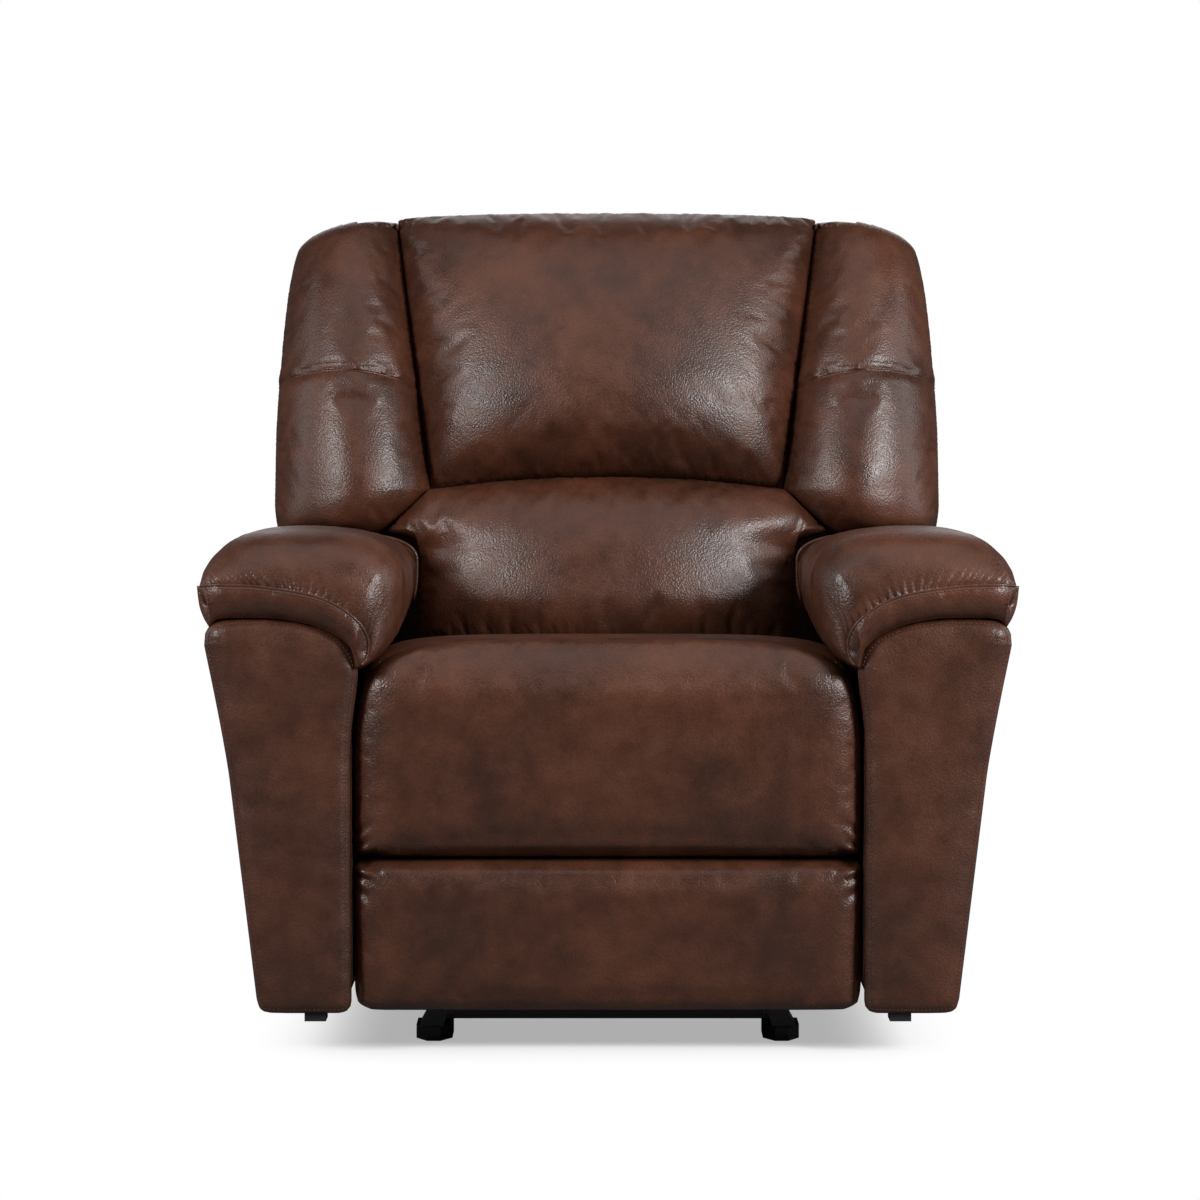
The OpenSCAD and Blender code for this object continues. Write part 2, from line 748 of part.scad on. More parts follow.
module seat_rail_right() {
    neck = 30;
    color(steel) {
        difference() {
            side_plate(layer(2), plate_t, [
                [seat_rail_front_y, rail_head_z], [seat_rail_front_y, main_pin[1] - link_eye_r * 1.4],
                [front_tube_at[0] - link_eye_r * 2, seat_rail_z], [seat_rail_rear_y - neck, seat_rail_z],
                [seat_rail_rear_y, back_pivot[1] - link_eye_r],
                [seat_rail_rear_y, back_pivot[1] + link_eye_r],
                [seat_rail_rear_y - neck, seat_rail_z + seat_rail_h],
                [rail_head_rear_y + neck, seat_rail_z + seat_rail_h],
                [rail_head_rear_y, rail_head_z]]);
            for (p = [front_tube_at, rear_tube_at])
                bar_x(p, torque_r + run_clear, layer(2) - over, layer(2) + plate_t + over);
        }
        translate([layer(2) - rail_flange_w, rail_flange_front_y, frame_z - plate_t])
            cube([rail_flange_w + over, seat_rear_tube_y - rail_flange_front_y, plate_t]);
        pin(main_pin, pin_r, 2, 3, head = false);
        pin(rear_pin, pin_r, 2, 3);
        bar_x(back_pivot, low_pin_r, layer(3), layer(2) + over);
    }
}
module seat_rail_left() { mirror([1, 0, 0]) seat_rail_right(); }

module seat_tube_at(y) {
    color(steel) square_tube([[-layer(2), y, frame_z - seat_tube_h],
        [2 * layer(2), seat_tube_w, seat_tube_h]], tube_wall, 0);
}
module seat_front_tube() { seat_tube_at(seat_front_tube_y); }
module seat_rear_tube() { seat_tube_at(seat_rear_tube_y); }

module seat_frame() {
    color(wood) difference() {
        translate([-frame_half, frame_front_y, frame_z])
            cube([2 * frame_half, frame_rear_y - frame_front_y, frame_h]);
        translate([-frame_half + frame_wall, frame_front_y + frame_wall, frame_z - over])
            cube([2 * (frame_half - frame_wall), frame_rear_y - frame_front_y - 2 * frame_wall, frame_h + 2 * over]);
    }
}

module seat_springs() {
    run = frame_rear_y - frame_front_y - frame_wall;
    color(zinc) for (i = [0:spring_n - 1])
        translate([(i - (spring_n - 1) / 2) * 2 * (frame_half - frame_wall) / spring_n,
            frame_front_y + frame_wall / 2, frame_z + frame_h]) sinuous(run, spring_amp);
}

seat_foot_z = frame_z + frame_h + spring_wire + seat_clear;
// Shares of the seat's depth, of its width and of its rise from the rear to the crown
seat_shares = [[0, 0.975, 0.58], [0.012, 0.985, 0.76], [0.04, 0.995, 0.9], [0.09, 1, 0.98],
    [0.15, 1, 1], [0.24, 1, 0.94], [0.38, 1, 0.72], [0.52, 1, 0.5], [0.66, 1, 0.3],
    [0.8, 1, 0.14], [0.92, 0.995, 0.02], [0.97, 0.985, -0.14], [1, 0.96, -0.5]];
seat_round = 3.4;
module seat_cushion() {
    color(leather) loft([for (row = seat_shares)
        let (y = mix(seat_front_y, seat_rear_y, row[0]), half = seat_half * row[1],
            top = mix(seat_rear_z, seat_crown_z, row[2]))
        [for (p = section(-half, half, seat_foot_z, top, seat_round)) [p[0], y, p[1]]]]);
}

// Footrest

module footrest_main_links() {
    color(zinc) both_sides() {
        flat_link(layer(3), plate_t, [main_lever, main_pin, main_mid, main_end],
            [0, pin_r + run_clear, 0, 0], link_w, eye_r);
        for (p = [main_mid, main_end]) pin(p, pin_r, 3, 5);
        pin(main_lever, pin_r, 3, 4, head = false);
    }
}

module footrest_bell_cranks() {
    color(steel) both_sides()
        flat_link(layer(5), plate_t, [upper_eye, main_mid, crank_end],
            [pin_r + run_clear, pin_r + run_clear, pin_r + 0.5 * layer_gap], link_w, eye_r);
}

module footrest_front_links() {
    color(steel) both_sides()
        flat_link(layer(5), plate_t, [main_end, lower_eye],
            [pin_r + run_clear, pin_r + 0.5 * layer_gap], link_w, eye_r);
}

module footrest_rear_links() {
    color(zinc) both_sides() {
        flat_link(layer(3), plate_t, [rear_pin, crank_end], [pin_r + run_clear, 0], link_w, eye_r);
        pin(crank_end, pin_r, 3, 5);
    }
}

module footrest_brackets() {
    lip = 30;
    color(steel) both_sides() {
        side_plate(layer(3), plate_t, [
            [footrest_back_y, lower_eye[1] - lip], [footrest_back_y, upper_eye[1] + eye_r],
            [upper_eye[0], upper_eye[1] + eye_r], [upper_eye[0] + eye_r, upper_eye[1]],
            [lower_eye[0] + eye_r, lower_eye[1]], [lower_eye[0], lower_eye[1] - eye_r]]);
        translate([layer(3) - lip, footrest_back_y, lower_eye[1] - lip])
            cube([lip + over, plate_t, upper_eye[1] - lower_eye[1] + lip + eye_r]);
        for (p = [upper_eye, lower_eye]) pin(p, pin_r, 3, 5);
    }
}

module footrest_board() {
    edge = 14;
    color(wood) translate([-frame_half, footrest_back_y - board_t, footrest_z + edge])
        cube([2 * frame_half, board_t, seat_crown_z - footrest_z - 2 * edge - board_t]);
}

// Shares of a pad's height, of its width and of its thickness
upper_pad_shares = [[0, 0.965, 0.74], [0.012, 0.98, 0.86], [0.05, 0.99, 0.93], [0.15, 1, 0.98],
    [0.4, 1, 1], [0.6, 0.998, 1], [0.72, 0.985, 0.985], [0.83, 0.955, 0.95], [0.91, 0.9, 0.86],
    [0.96, 0.8, 0.74], [0.99, 0.68, 0.6], [1, 0.56, 0.44]];
lower_pad_shares = [[0, 0.9, 0.45], [0.02, 0.94, 0.66], [0.07, 0.975, 0.84], [0.18, 0.995, 0.95],
    [0.4, 1, 0.98], [0.65, 1, 0.97], [0.85, 0.995, 0.93], [0.96, 0.98, 0.86], [1, 0.965, 0.76]];
pad_round = 5;
pad_foot_y = footrest_back_y - board_t - seat_clear;
module footrest_pad(z0, z1, shares) {
    color(leather) loft([for (row = shares)
        let (z = mix(z0, z1, row[0]), half = seat_half * row[1], t = footrest_pad_t * row[2])
        [for (p = section(-half, half, pad_foot_y - t, pad_foot_y, pad_round)) [p[0], p[1], z]]]);
}
module footrest_upper_pad() { footrest_pad(crease_z + seat_clear, seat_crown_z, upper_pad_shares); }
module footrest_lower_pad() { footrest_pad(footrest_z, crease_z - seat_clear, lower_pad_shares); }

// A rod whose far eye is wide enough for the play of its open joint
module rod(x, a, b, play) {
    side_slab(x, plate_t) difference() {
        union() {
            link_outline([a, b], rod_w * 0.8, rod_eye_r);
            translate(b) circle(rod_eye_r + play);
        }
        translate(a) circle(pin_r + run_clear);
        translate(b) circle(pin_r + play);
    }
}
module footrest_drive_rods() {
    color(zinc) both_sides() rod(layer(4), front_lever, main_lever, rod_play);
}
module back_drive_rods() {
    color(zinc) both_sides() rod(layer(4), rear_lever, back_lever, back_rod_play);
}

// Back, drawn in its own space with the hinge at the origin

module back_space() {
    translate([0, back_pivot[0], back_pivot[1]]) rotate([-back_rake, 0, 0]) children();
}
// Place in the back's own space of a point given as depth and height
function in_back(p) = let (d = p - back_pivot)
    [d[0] * cos(back_rake) - d[1] * sin(back_rake), d[0] * sin(back_rake) + d[1] * cos(back_rake)];

module back_bar(x0, x1, s0, s1) {
    translate([x0, back_frame_t[0], s0]) cube([x1 - x0, back_frame_t[1] - back_frame_t[0], s1 - s0]);
}

// Right edge of the back from the foot of the wing to the top, with its rounded corner
corner_power = 0.85;
corner_steps = 8;
function wing_edge(inset) = concat([[wing_board_x - inset, wing_board_s]],
    [for (i = [0:corner_steps]) let (a = 90 * i / corner_steps) [
        wing_board_x - inset - wing_corner_w * (1 - pow(cos(a), corner_power)),
        back_len - inset - wing_corner_h * (1 - pow(sin(a), corner_power))]]);
// Outline across the back above the foot of the wings
module back_outline() {
    edge = wing_edge(0);
    polygon(concat(edge, [for (i = [len(edge) - 1:-1:0]) [-edge[i][0], edge[i][1]]]));
}

module back_frame() {
    color(wood) back_space() {
        both_sides() {
            back_bar(upright_x, upright_x + upright_w, back_foot_s, back_len - back_rail_w);
            depth_extrude(back_frame_t[0], back_frame_t[0] + wing_board_t) intersection() {
                back_outline();
                translate([upright_x + upright_w - over, wing_board_s])
                    square([wing_board_x, back_len - wing_board_s - over]);
            }
        }
        back_bar(-upright_x - over, upright_x + over, back_bottom_s, back_bottom_s + back_rail_w);
        depth_extrude(back_frame_t[0], back_frame_t[1]) intersection() {
            back_outline();
            translate([-wing_board_x, back_len - back_rail_w]) square([2 * wing_board_x, back_rail_w]);
        }
    }
}

module back_brackets() {
    eye = in_back(back_lever);
    x0 = upright_x + upright_w;
    color(steel) back_space() both_sides() {
        side_slab(layer(3), plate_t) difference() {
            union() {
                link_outline([[0, 0], eye], bracket_arm_w * 0.8, link_eye_r);
                polygon([[-link_eye_r, 0], [link_eye_r, 0], [back_frame_t[1], eye[1]],
                    [back_frame_t[1], bracket_s], [back_frame_t[0], bracket_s]]);
            }
            circle(low_pin_r + run_clear);
        }
        pin(eye, pin_r, 3, 4, head = false);
        translate([x0, back_frame_t[0], bracket_s - bracket_arm_w])
            cube([layer(3) - x0 + over, back_frame_t[1] - back_frame_t[0], plate_t]);
        translate([x0, back_frame_t[0], bracket_s - bracket_arm_w])
            cube([plate_t, back_frame_t[1] - back_frame_t[0], bracket_arm_w * 2]);
    }
}

back_spring_n = 4;
module back_springs() {
    run = back_len - back_bottom_s - back_rail_w;
    color(zinc) back_space() for (i = [0:back_spring_n - 1])
        translate([(i - (back_spring_n - 1) / 2) * 2 * upright_x / back_spring_n,
            back_frame_t[0], back_bottom_s + back_rail_w / 2])
            rotate([90, 0, 0]) sinuous(run, spring_amp);
}

back_front_t = back_frame_t[0] - spring_wire - seat_clear;
cushion_round = 3.2;
back_top_s = back_len + back_top_over;
// Half width of the centre cushions at a height in the back's space
function cushion_half(s) =
    mix(lumbar_w / 2, upper_w / 2, max(0, s - upper_foot_s) / (back_top_s - upper_foot_s));
side_draw_share = 0.08;
// A centre cushion whose foot is a level cut where flat is 1, and square to the frame where it is 0
module back_pillow(s0, s1, thick, flat, shares) {
    color(leather) back_space() loft([for (row = shares)
        let (s = mix(s0, s1, row[0]), half = cushion_half(s) * (1 - side_draw_share * (1 - row[1])))
        [for (p = section(-half, half, back_front_t - thick * row[1], back_front_t, cushion_round))
            [p[0], p[1], s + flat * (1 - row[0]) * p[1] * tan(back_rake)]]]);
}
// Shares of a back cushion's height and of its thickness
upper_shares = [[0, 0.42], [0.01, 0.56], [0.04, 0.72], [0.1, 0.88], [0.2, 0.98], [0.35, 1],
    [0.55, 0.95], [0.72, 0.85], [0.85, 0.72], [0.93, 0.58], [0.98, 0.4], [1, 0.22]];
lumbar_shares = [[0, 0.5], [0.02, 0.66], [0.08, 0.82], [0.2, 0.95], [0.4, 1], [0.6, 0.98],
    [0.8, 0.88], [0.93, 0.72], [0.98, 0.56], [1, 0.42]];
module back_upper_cushion() {
    back_pillow(upper_foot_s, back_top_s, upper_t, 0, upper_shares);
}
module lumbar_cushion() {
    foot_s = (seat_rear_z + lumbar_foot_gap - back_pivot[1]) / cos(back_rake);
    back_pillow(foot_s, upper_foot_s - seat_clear, lumbar_t, 1, lumbar_shares);
}

// Shares of a wing's height, of its outer half width and of its thickness
wing_shares = [[0, 0.93, 0.4], [0.015, 0.965, 0.6], [0.06, 0.99, 0.82], [0.14, 1, 0.95], [0.3, 1, 1],
    [0.5, 0.993, 0.97], [0.7, 0.977, 0.88], [0.85, 0.953, 0.74], [0.93, 0.915, 0.6],
    [0.98, 0.86, 0.42], [1, 0.8, 0.25]];
wing_round = 3;
wing_back_t = back_frame_t[0] - seat_clear;
module wing_right() {
    s_rear = (wing_foot_z - back_pivot[1]) / cos(back_rake);
    color(leather) back_space() loft([for (row = wing_shares)
        let (half = wing_w / 2 * row[1], inner = cushion_half(mix(s_rear, back_top_s, row[0])) + wing_in_gap)
        [for (p = section(inner, half, wing_back_t - wing_t * row[2], wing_back_t, wing_round))
            [p[0], p[1], mix(s_rear + p[1] * tan(back_rake), back_top_s, row[0])]]]);
}
module wing_left() { mirror([1, 0, 0]) wing_right(); }

module outer_back_panel() {
    notch_s = in_back(back_lever)[1] + 2 * link_eye_r;
    color(leather) back_space() {
        depth_extrude(back_frame_t[1], back_frame_t[1] + outer_panel_t) back_outline();
        translate([lower_panel_gap - arm_in, back_frame_t[1], notch_s])
            cube([2 * (arm_in - lower_panel_gap), outer_panel_t, wing_board_s - notch_s + over]);
        translate([lower_panel_gap - layer(4), back_frame_t[1], outer_panel_foot_s])
            cube([2 * (layer(4) - lower_panel_gap), outer_panel_t, notch_s - outer_panel_foot_s + over]);
        both_sides() depth_extrude(back_frame_t[0] + wing_board_t, back_frame_t[1] + over) intersection() {
            difference() {
                back_outline();
                polygon(concat([[0, wing_board_s - over], [wing_board_x - outer_panel_t, wing_board_s - over]],
                    wing_edge(outer_panel_t), [[0, back_len]]));
            }
            translate([0, wing_board_s])
                square([wing_board_x, back_len - wing_board_s - back_rail_w - seat_clear]);
        }
    }
}

base_frame();
base_feet();
front_swing_link_left();
front_swing_link_right();
rear_swing_link_left();
rear_swing_link_right();
carriage_left();
carriage_right();
front_cross_tube();
rear_cross_tube();
side_rail_left();
side_rail_right();
arm_frame_left();
arm_frame_right();
arm_side_panel_left();
arm_side_panel_right();
arm_front_panel_left();
arm_front_panel_right();
arm_inner_panel_left();
arm_inner_panel_right();
arm_pad_left();
arm_pad_right();
rear_panel();
arm_glides();
actuator_housing();
actuator_rail();
lead_screw();
control_panel();
recline_button();
return_button();
power_inlet();
front_torque_tube();
rear_torque_tube();
seat_rail_left();
seat_rail_right();
seat_frame();
seat_front_tube();
seat_rear_tube();
seat_springs();
seat_cushion();
footrest_main_links();
footrest_bell_cranks();
footrest_front_links();
footrest_rear_links();
footrest_board();
footrest_brackets();
footrest_upper_pad();
footrest_lower_pad();
footrest_drive_rods();
back_drive_rods();
back_frame();
back_brackets();
back_springs();
back_upper_cushion();
lumbar_cushion();
wing_left();
wing_right();
outer_back_panel();
drive_block();
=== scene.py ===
import bmesh, bpy, json, math
import numpy as np
from numpy import (arange, array, clip, exp, full, interp, linspace, maximum, minimum, ones, vstack,
                   where, zeros)
from numpy.linalg import norm
from mathutils import Vector, Matrix, geometry


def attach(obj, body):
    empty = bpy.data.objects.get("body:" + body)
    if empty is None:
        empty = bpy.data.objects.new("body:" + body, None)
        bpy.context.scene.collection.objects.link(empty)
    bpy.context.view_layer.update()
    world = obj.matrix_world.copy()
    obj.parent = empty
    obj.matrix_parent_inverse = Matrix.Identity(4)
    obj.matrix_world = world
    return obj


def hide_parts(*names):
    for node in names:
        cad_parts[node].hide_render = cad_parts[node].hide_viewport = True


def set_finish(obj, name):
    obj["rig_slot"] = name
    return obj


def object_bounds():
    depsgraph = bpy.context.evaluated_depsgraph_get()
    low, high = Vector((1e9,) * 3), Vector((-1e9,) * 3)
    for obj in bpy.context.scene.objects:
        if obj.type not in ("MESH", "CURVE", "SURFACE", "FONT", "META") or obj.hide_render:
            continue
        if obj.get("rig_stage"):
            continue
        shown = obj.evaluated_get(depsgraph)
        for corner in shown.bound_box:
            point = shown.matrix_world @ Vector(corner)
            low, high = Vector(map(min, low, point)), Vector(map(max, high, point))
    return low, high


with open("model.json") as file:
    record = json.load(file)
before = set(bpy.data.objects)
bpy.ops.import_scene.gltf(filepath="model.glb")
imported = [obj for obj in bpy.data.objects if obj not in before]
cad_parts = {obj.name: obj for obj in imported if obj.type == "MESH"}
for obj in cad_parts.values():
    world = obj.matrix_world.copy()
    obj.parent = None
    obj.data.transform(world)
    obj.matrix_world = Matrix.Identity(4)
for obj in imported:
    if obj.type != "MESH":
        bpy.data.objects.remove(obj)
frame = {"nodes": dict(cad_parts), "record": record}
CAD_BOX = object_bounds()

MM = 0.001
RAKE = math.radians(17)  # lean of the back at rest
PIVOT = (195.0, 262.0)  # y and z of the back's hinge line
scene = bpy.context.scene
nodes = frame["nodes"]


def linked(name, data):
    """A new object in the scene."""
    o = bpy.data.objects.new(name, data)
    scene.collection.objects.link(o)
    return o


# ---- camera
cam_data = bpy.data.cameras.new("camera")
cam_data.lens = 112.5
cam_data.sensor_width = 36.0
cam = linked("camera", cam_data)
CAM_TILT = 3.74  # degrees below level
cam.location = (-0.0096, -4.975, 0.85)
cam.rotation_euler = (math.radians(90 - CAM_TILT), 0, 0)
scene.camera = cam


# ---- materials
class Nodes:
    """Short way to write a node tree."""
    def __init__(self, name):
        self.mat = bpy.data.materials.new(name)
        self.mat.use_nodes = True
        self.t = self.mat.node_tree
        self.t.nodes.clear()
        self.out = self.t.nodes.new("ShaderNodeOutputMaterial")
        self.obj = self.new("TexCoord").outputs["Object"]

    def new(self, kind, inputs=None, **props):
        n = self.t.nodes.new("ShaderNode" + kind)
        for k, v in props.items():
            setattr(n, k, v)
        for k, v in (inputs or {}).items():
            if isinstance(v, bpy.types.NodeSocket):
                self.t.links.new(v, n.inputs[k])
            else:
                n.inputs[k].default_value = v
        return n

    def out0(self, kind, inputs=None, **props):
        return self.new(kind, inputs, **props).outputs[0]

    def noise(self, vector, scale, detail, rough=0.5, distortion=0.0):
        return self.out0("TexNoise", {"Vector": vector, "Scale": scale, "Detail": detail,
                                      "Roughness": rough, "Distortion": distortion})

    def math(self, operation, *values):
        return self.out0("Math", dict(enumerate(values)), operation=operation)

    def spread(self, value, lo, hi):
        return self.out0("MapRange", {"Value": value, "From Min": 0.3, "From Max": 0.7,
                                      "To Min": lo, "To Max": hi})

    def ramp(self, fac, stops):
        n = self.new("ValToRGB", {0: fac})
        e = n.color_ramp.elements
        while len(e) < len(stops):
            e.new(0.5)
        for i, (p, c) in enumerate(stops):
            e[i].position = p
            e[i].color = (*c, 1)
        return n.outputs[0]

    def end(self, shader):
        self.t.links.new(shader, self.out.inputs["Surface"])
        return self.mat


def leather(name, seed=0.0, rough=0.37, dark=1.0):
    m = Nodes(name)
    mp = m.out0("Mapping", {"Vector": m.obj, "Location": (seed, seed * 0.7, seed * 1.3)})
    big = m.noise(mp, 7.0, 3.5, 0.5, 0.4)
    mid = m.noise(mp, 30.0, 3.0, 0.6)
    mix = m.math("MULTIPLY_ADD", mid, 0.4, m.math("MULTIPLY", big, 0.6))
    c = lambda r, g, b: (r * dark, g * dark, b * dark)
    col = m.ramp(mix, [(0.37, c(0.048, 0.0166, 0.0088)), (0.47, c(0.070, 0.0231, 0.0116)),
                       (0.55, c(0.089, 0.0288, 0.0141)), (0.65, c(0.111, 0.0358, 0.0173))])
    peb = m.new("TexVoronoi", {"Vector": mp, "Scale": 430.0, "Randomness": 0.9},
                feature="SMOOTH_F1").outputs["Distance"]
    fine = m.noise(mp, 900.0, 2.0)
    wrk = m.noise(mp, 70.0, 4.0, 0.62, 0.7)
    pits = m.ramp(peb, [(0.25, (1, 1, 1)), (0.62, (0.5, 0.5, 0.5))])
    tint = m.new("Mix", data_type="RGBA", blend_type="MULTIPLY")
    # a Mix node's colour sockets come after its number and vector ones
    tint.inputs[0].default_value = 0.4
    m.t.links.new(col, tint.inputs[6])
    m.t.links.new(pits, tint.inputs[7])
    rgh = m.spread(mid, rough - 0.05, rough + 0.07)
    b1 = m.out0("Bump", {"Height": wrk, "Strength": 0.2, "Distance": 0.0014})
    b2 = m.out0("Bump", {"Height": peb, "Strength": 0.85, "Distance": 0.0005, "Normal": b1}, invert=True)
    b3 = m.out0("Bump", {"Height": fine, "Strength": 0.25, "Distance": 0.0002, "Normal": b2})
    return m.end(m.out0("BsdfPrincipled", {"Base Color": tint.outputs[2], "Roughness": rgh, "Normal": b3,
                                           "Specular IOR Level": 0.5}))


def metal(name, color, rough, metallic=1.0, grain=0.02, scale=300.0, bump=0.1):
    m = Nodes(name)
    n = m.noise(m.obj, scale, 3.0, 0.6)
    lo = tuple(v * 0.82 for v in color)
    hi = tuple(min(1, v * 1.12) for v in color)
    col = m.ramp(m.noise(m.obj, 14.0, 2.0), [(0.35, lo), (0.65, hi)])
    r = m.spread(n, rough - grain, rough + grain * 2)
    b = m.out0("Bump", {"Height": n, "Strength": bump, "Distance": 0.0004})
    return m.end(m.out0("BsdfPrincipled", {"Base Color": col, "Metallic": metallic, "Roughness": r,
                                           "Normal": b}))


def wood(name):
    m = Nodes(name)
    mp = m.out0("Mapping", {"Vector": m.obj, "Scale": (7.0, 60.0, 7.0)})
    n = m.noise(mp, 4.0, 6.0, 0.62, 0.4)
    col = m.ramp(n, [(0.3, (0.33, 0.21, 0.11)), (0.5, (0.50, 0.35, 0.20)), (0.7, (0.62, 0.46, 0.29))])
    b = m.out0("Bump", {"Height": n, "Strength": 0.25, "Distance": 0.0006})
    return m.end(m.out0("BsdfPrincipled", {"Base Color": col, "Roughness": 0.62, "Normal": b}))


def cloth(name, color, scale=420.0):
    m = Nodes(name)
    v = m.new("TexVoronoi", {"Vector": m.obj, "Scale": scale, "Randomness": 0.4},
              feature="F1").outputs["Distance"]
    n = m.noise(m.obj, 40.0, 3.0)
    col = m.ramp(n, [(at, tuple(c * k for c in color)) for at, k in ((0.3, 0.7), (0.7, 1.3))])
    b = m.out0("Bump", {"Height": v, "Strength": 0.6, "Distance": 0.0005})
    return m.end(m.out0("BsdfPrincipled", {"Base Color": col, "Roughness": 0.9, "Normal": b,
                                           "Sheen Weight": 0.15}))


M = {
    "cushion": leather("leather_cushion", 0.0),
    "back": leather("leather_back", 2.3),
    "panel": leather("leather_panel", 5.1, rough=0.40, dark=0.9),
    "thread": metal("thread", (0.115, 0.045, 0.028), 0.7, 0.0, 0.05, 900.0, 0.3),
    "zinc": metal("zinc_steel", (0.56, 0.57, 0.60), 0.34, 1.0, 0.05, 500.0, 0.08),
    "black": metal("black_steel", (0.012, 0.012, 0.013), 0.42, 0.0, 0.04, 700.0, 0.25),
    "plastic": metal("black_plastic", (0.014, 0.014, 0.015), 0.5, 0.0, 0.05, 1200.0, 0.3),
    "wood": wood("plywood"),
    "lining": cloth("black_lining", (0.012, 0.012, 0.013)),
}

# slots of the shaped pieces, and the material for each slot of the record
SLOT = {"cushion": "cushion_leather", "back": "cushion_leather", "panel": "panel_leather",
        "thread": "panel_leather"}
BY_SLOT = {"cushion_leather": "cushion", "panel_leather": "panel", "wood": "wood", "zinc_steel": "zinc",
           "black_steel": "black", "black_plastic": "plastic", "black_lining": "lining"}
for sp in frame["record"]["subparts"]:
    o = nodes[sp["node"]]
    o.data.materials.clear()
    o.data.materials.append(M[BY_SLOT[sp["material_slot"]]])


# ---- mesh helpers
def add_mesh(name, verts, faces, mat):
    """A piece from points in millimetres, with its material and its slot."""
    me = bpy.data.meshes.new(name)
    verts = [tuple(v) for v in np.asarray(verts) * MM]
    me.from_pydata(verts, [], [tuple(int(i) for i in f) for f in faces])
    me.validate()
    me.update()
    me.materials.append(M[mat])
    me.shade_smooth()
    o = linked(name, me)
    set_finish(o, SLOT[mat])
    return o


def orient(o):
    """Turns the faces outwards."""
    bm = bmesh.new()
    bm.from_mesh(o.data)
    bmesh.ops.recalc_face_normals(bm, faces=bm.faces)
    bm.to_mesh(o.data)
    bm.free()
    return o


def cols(*c):
    return np.stack(c, 1)


def curve(xs, ys, x):
    """Smooth monotone curve through points."""
    xs, ys, x = np.asarray(xs, float), np.asarray(ys, float), np.asarray(x, float)
    h = np.diff(xs)
    d = np.diff(ys) / h
    m = zeros(len(xs))
    m[1:-1] = where(d[:-1] * d[1:] > 0, 2 * d[:-1] * d[1:] / (d[:-1] + d[1:] + 1e-12), 0)
    m[0], m[-1] = d[0], d[-1]
    i = clip(np.searchsorted(xs, x) - 1, 0, len(h) - 1)
    t = clip((x - xs[i]) / h[i], 0, 1)
    return ((2 * t**3 - 3 * t**2 + 1) * ys[i] + (t**3 - 2 * t**2 + t) * h[i] * m[i]
            + (3 * t**2 - 2 * t**3) * ys[i + 1] + (t**3 - t**2) * h[i] * m[i + 1])


def bulge(d, r, p=2.2):
    """0 at an edge, 1 from r inwards, rising steeply like a stuffed edge."""
    t = clip(np.asarray(d, float) / r, 0, 1)
    return (1 - (1 - t) ** p) ** (1 / p)


def resample(poly, step):
    """Even points along a closed outline."""
    p = np.asarray(poly, float)
    q = vstack([p, p[:1]])
    seg = norm(np.diff(q, axis=0), axis=1)
    s = np.concatenate([[0], np.cumsum(seg)])
    n = max(8, int(round(s[-1] / step)))
    at = arange(n) * s[-1] / n
    return np.stack([interp(at, s, q[:, k]) for k in (0, 1)], 1)


def turn(poly):
    """1 for an outline that runs anticlockwise, -1 for one that runs clockwise."""
    x, y = poly[:, 0], poly[:, 1]
    return np.sign(0.5 * np.sum(x * np.roll(y, -1) - np.roll(x, -1) * y))


def nearest(pts, poly):
    """Distance to a closed outline, and the place along it."""
    a, b = poly, np.roll(poly, -1, axis=0)
    seg = b - a
    ln = norm(seg, axis=1)
    start = np.concatenate([[0], np.cumsum(ln)[:-1]])
    best, arc = full(len(pts), 1e9), zeros(len(pts))
    for k in range(0, len(pts), 2000):
        p = pts[k:k + 2000, None, :]
        t = clip(((p - a) * seg).sum(2) / (ln**2 + 1e-12), 0, 1)
        d = norm(p - (a + t[..., None] * seg), axis=2)
        i = d.argmin(1)
        r = arange(len(i))
        best[k:k + 2000], arc[k:k + 2000] = d[r, i], start[i] + t[r, i] * ln[i]
    return best, arc


def inside(pts, poly):
    """True for the points within a closed outline."""
    a, b = poly, np.roll(poly, -1, axis=0)
    x, y = pts[:, 0, None], pts[:, 1, None]
    at = (b[:, 0] - a[:, 0]) * (y - a[:, 1]) / (b[:, 1] - a[:, 1] + 1e-12) + a[:, 0]
    cross = ((a[:, 1] > y) != (b[:, 1] > y)) & (x < at)
    return cross.sum(1) % 2 == 1


TABLE = 4096


def noise1(x, seed):
    """Smooth noise in one variable, from -1 to 1."""
    table = np.random.RandomState(seed).uniform(-1, 1, TABLE)
    i = np.floor(x).astype(int)
    t = x - i
    t = t * t * (3 - 2 * t)
    return table[i % TABLE] * (1 - t) + table[(i + 1) % TABLE] * t


RINGS = (1.2, 2.8, 5.0, 8.0, 11.5, 15.5, 20.0)


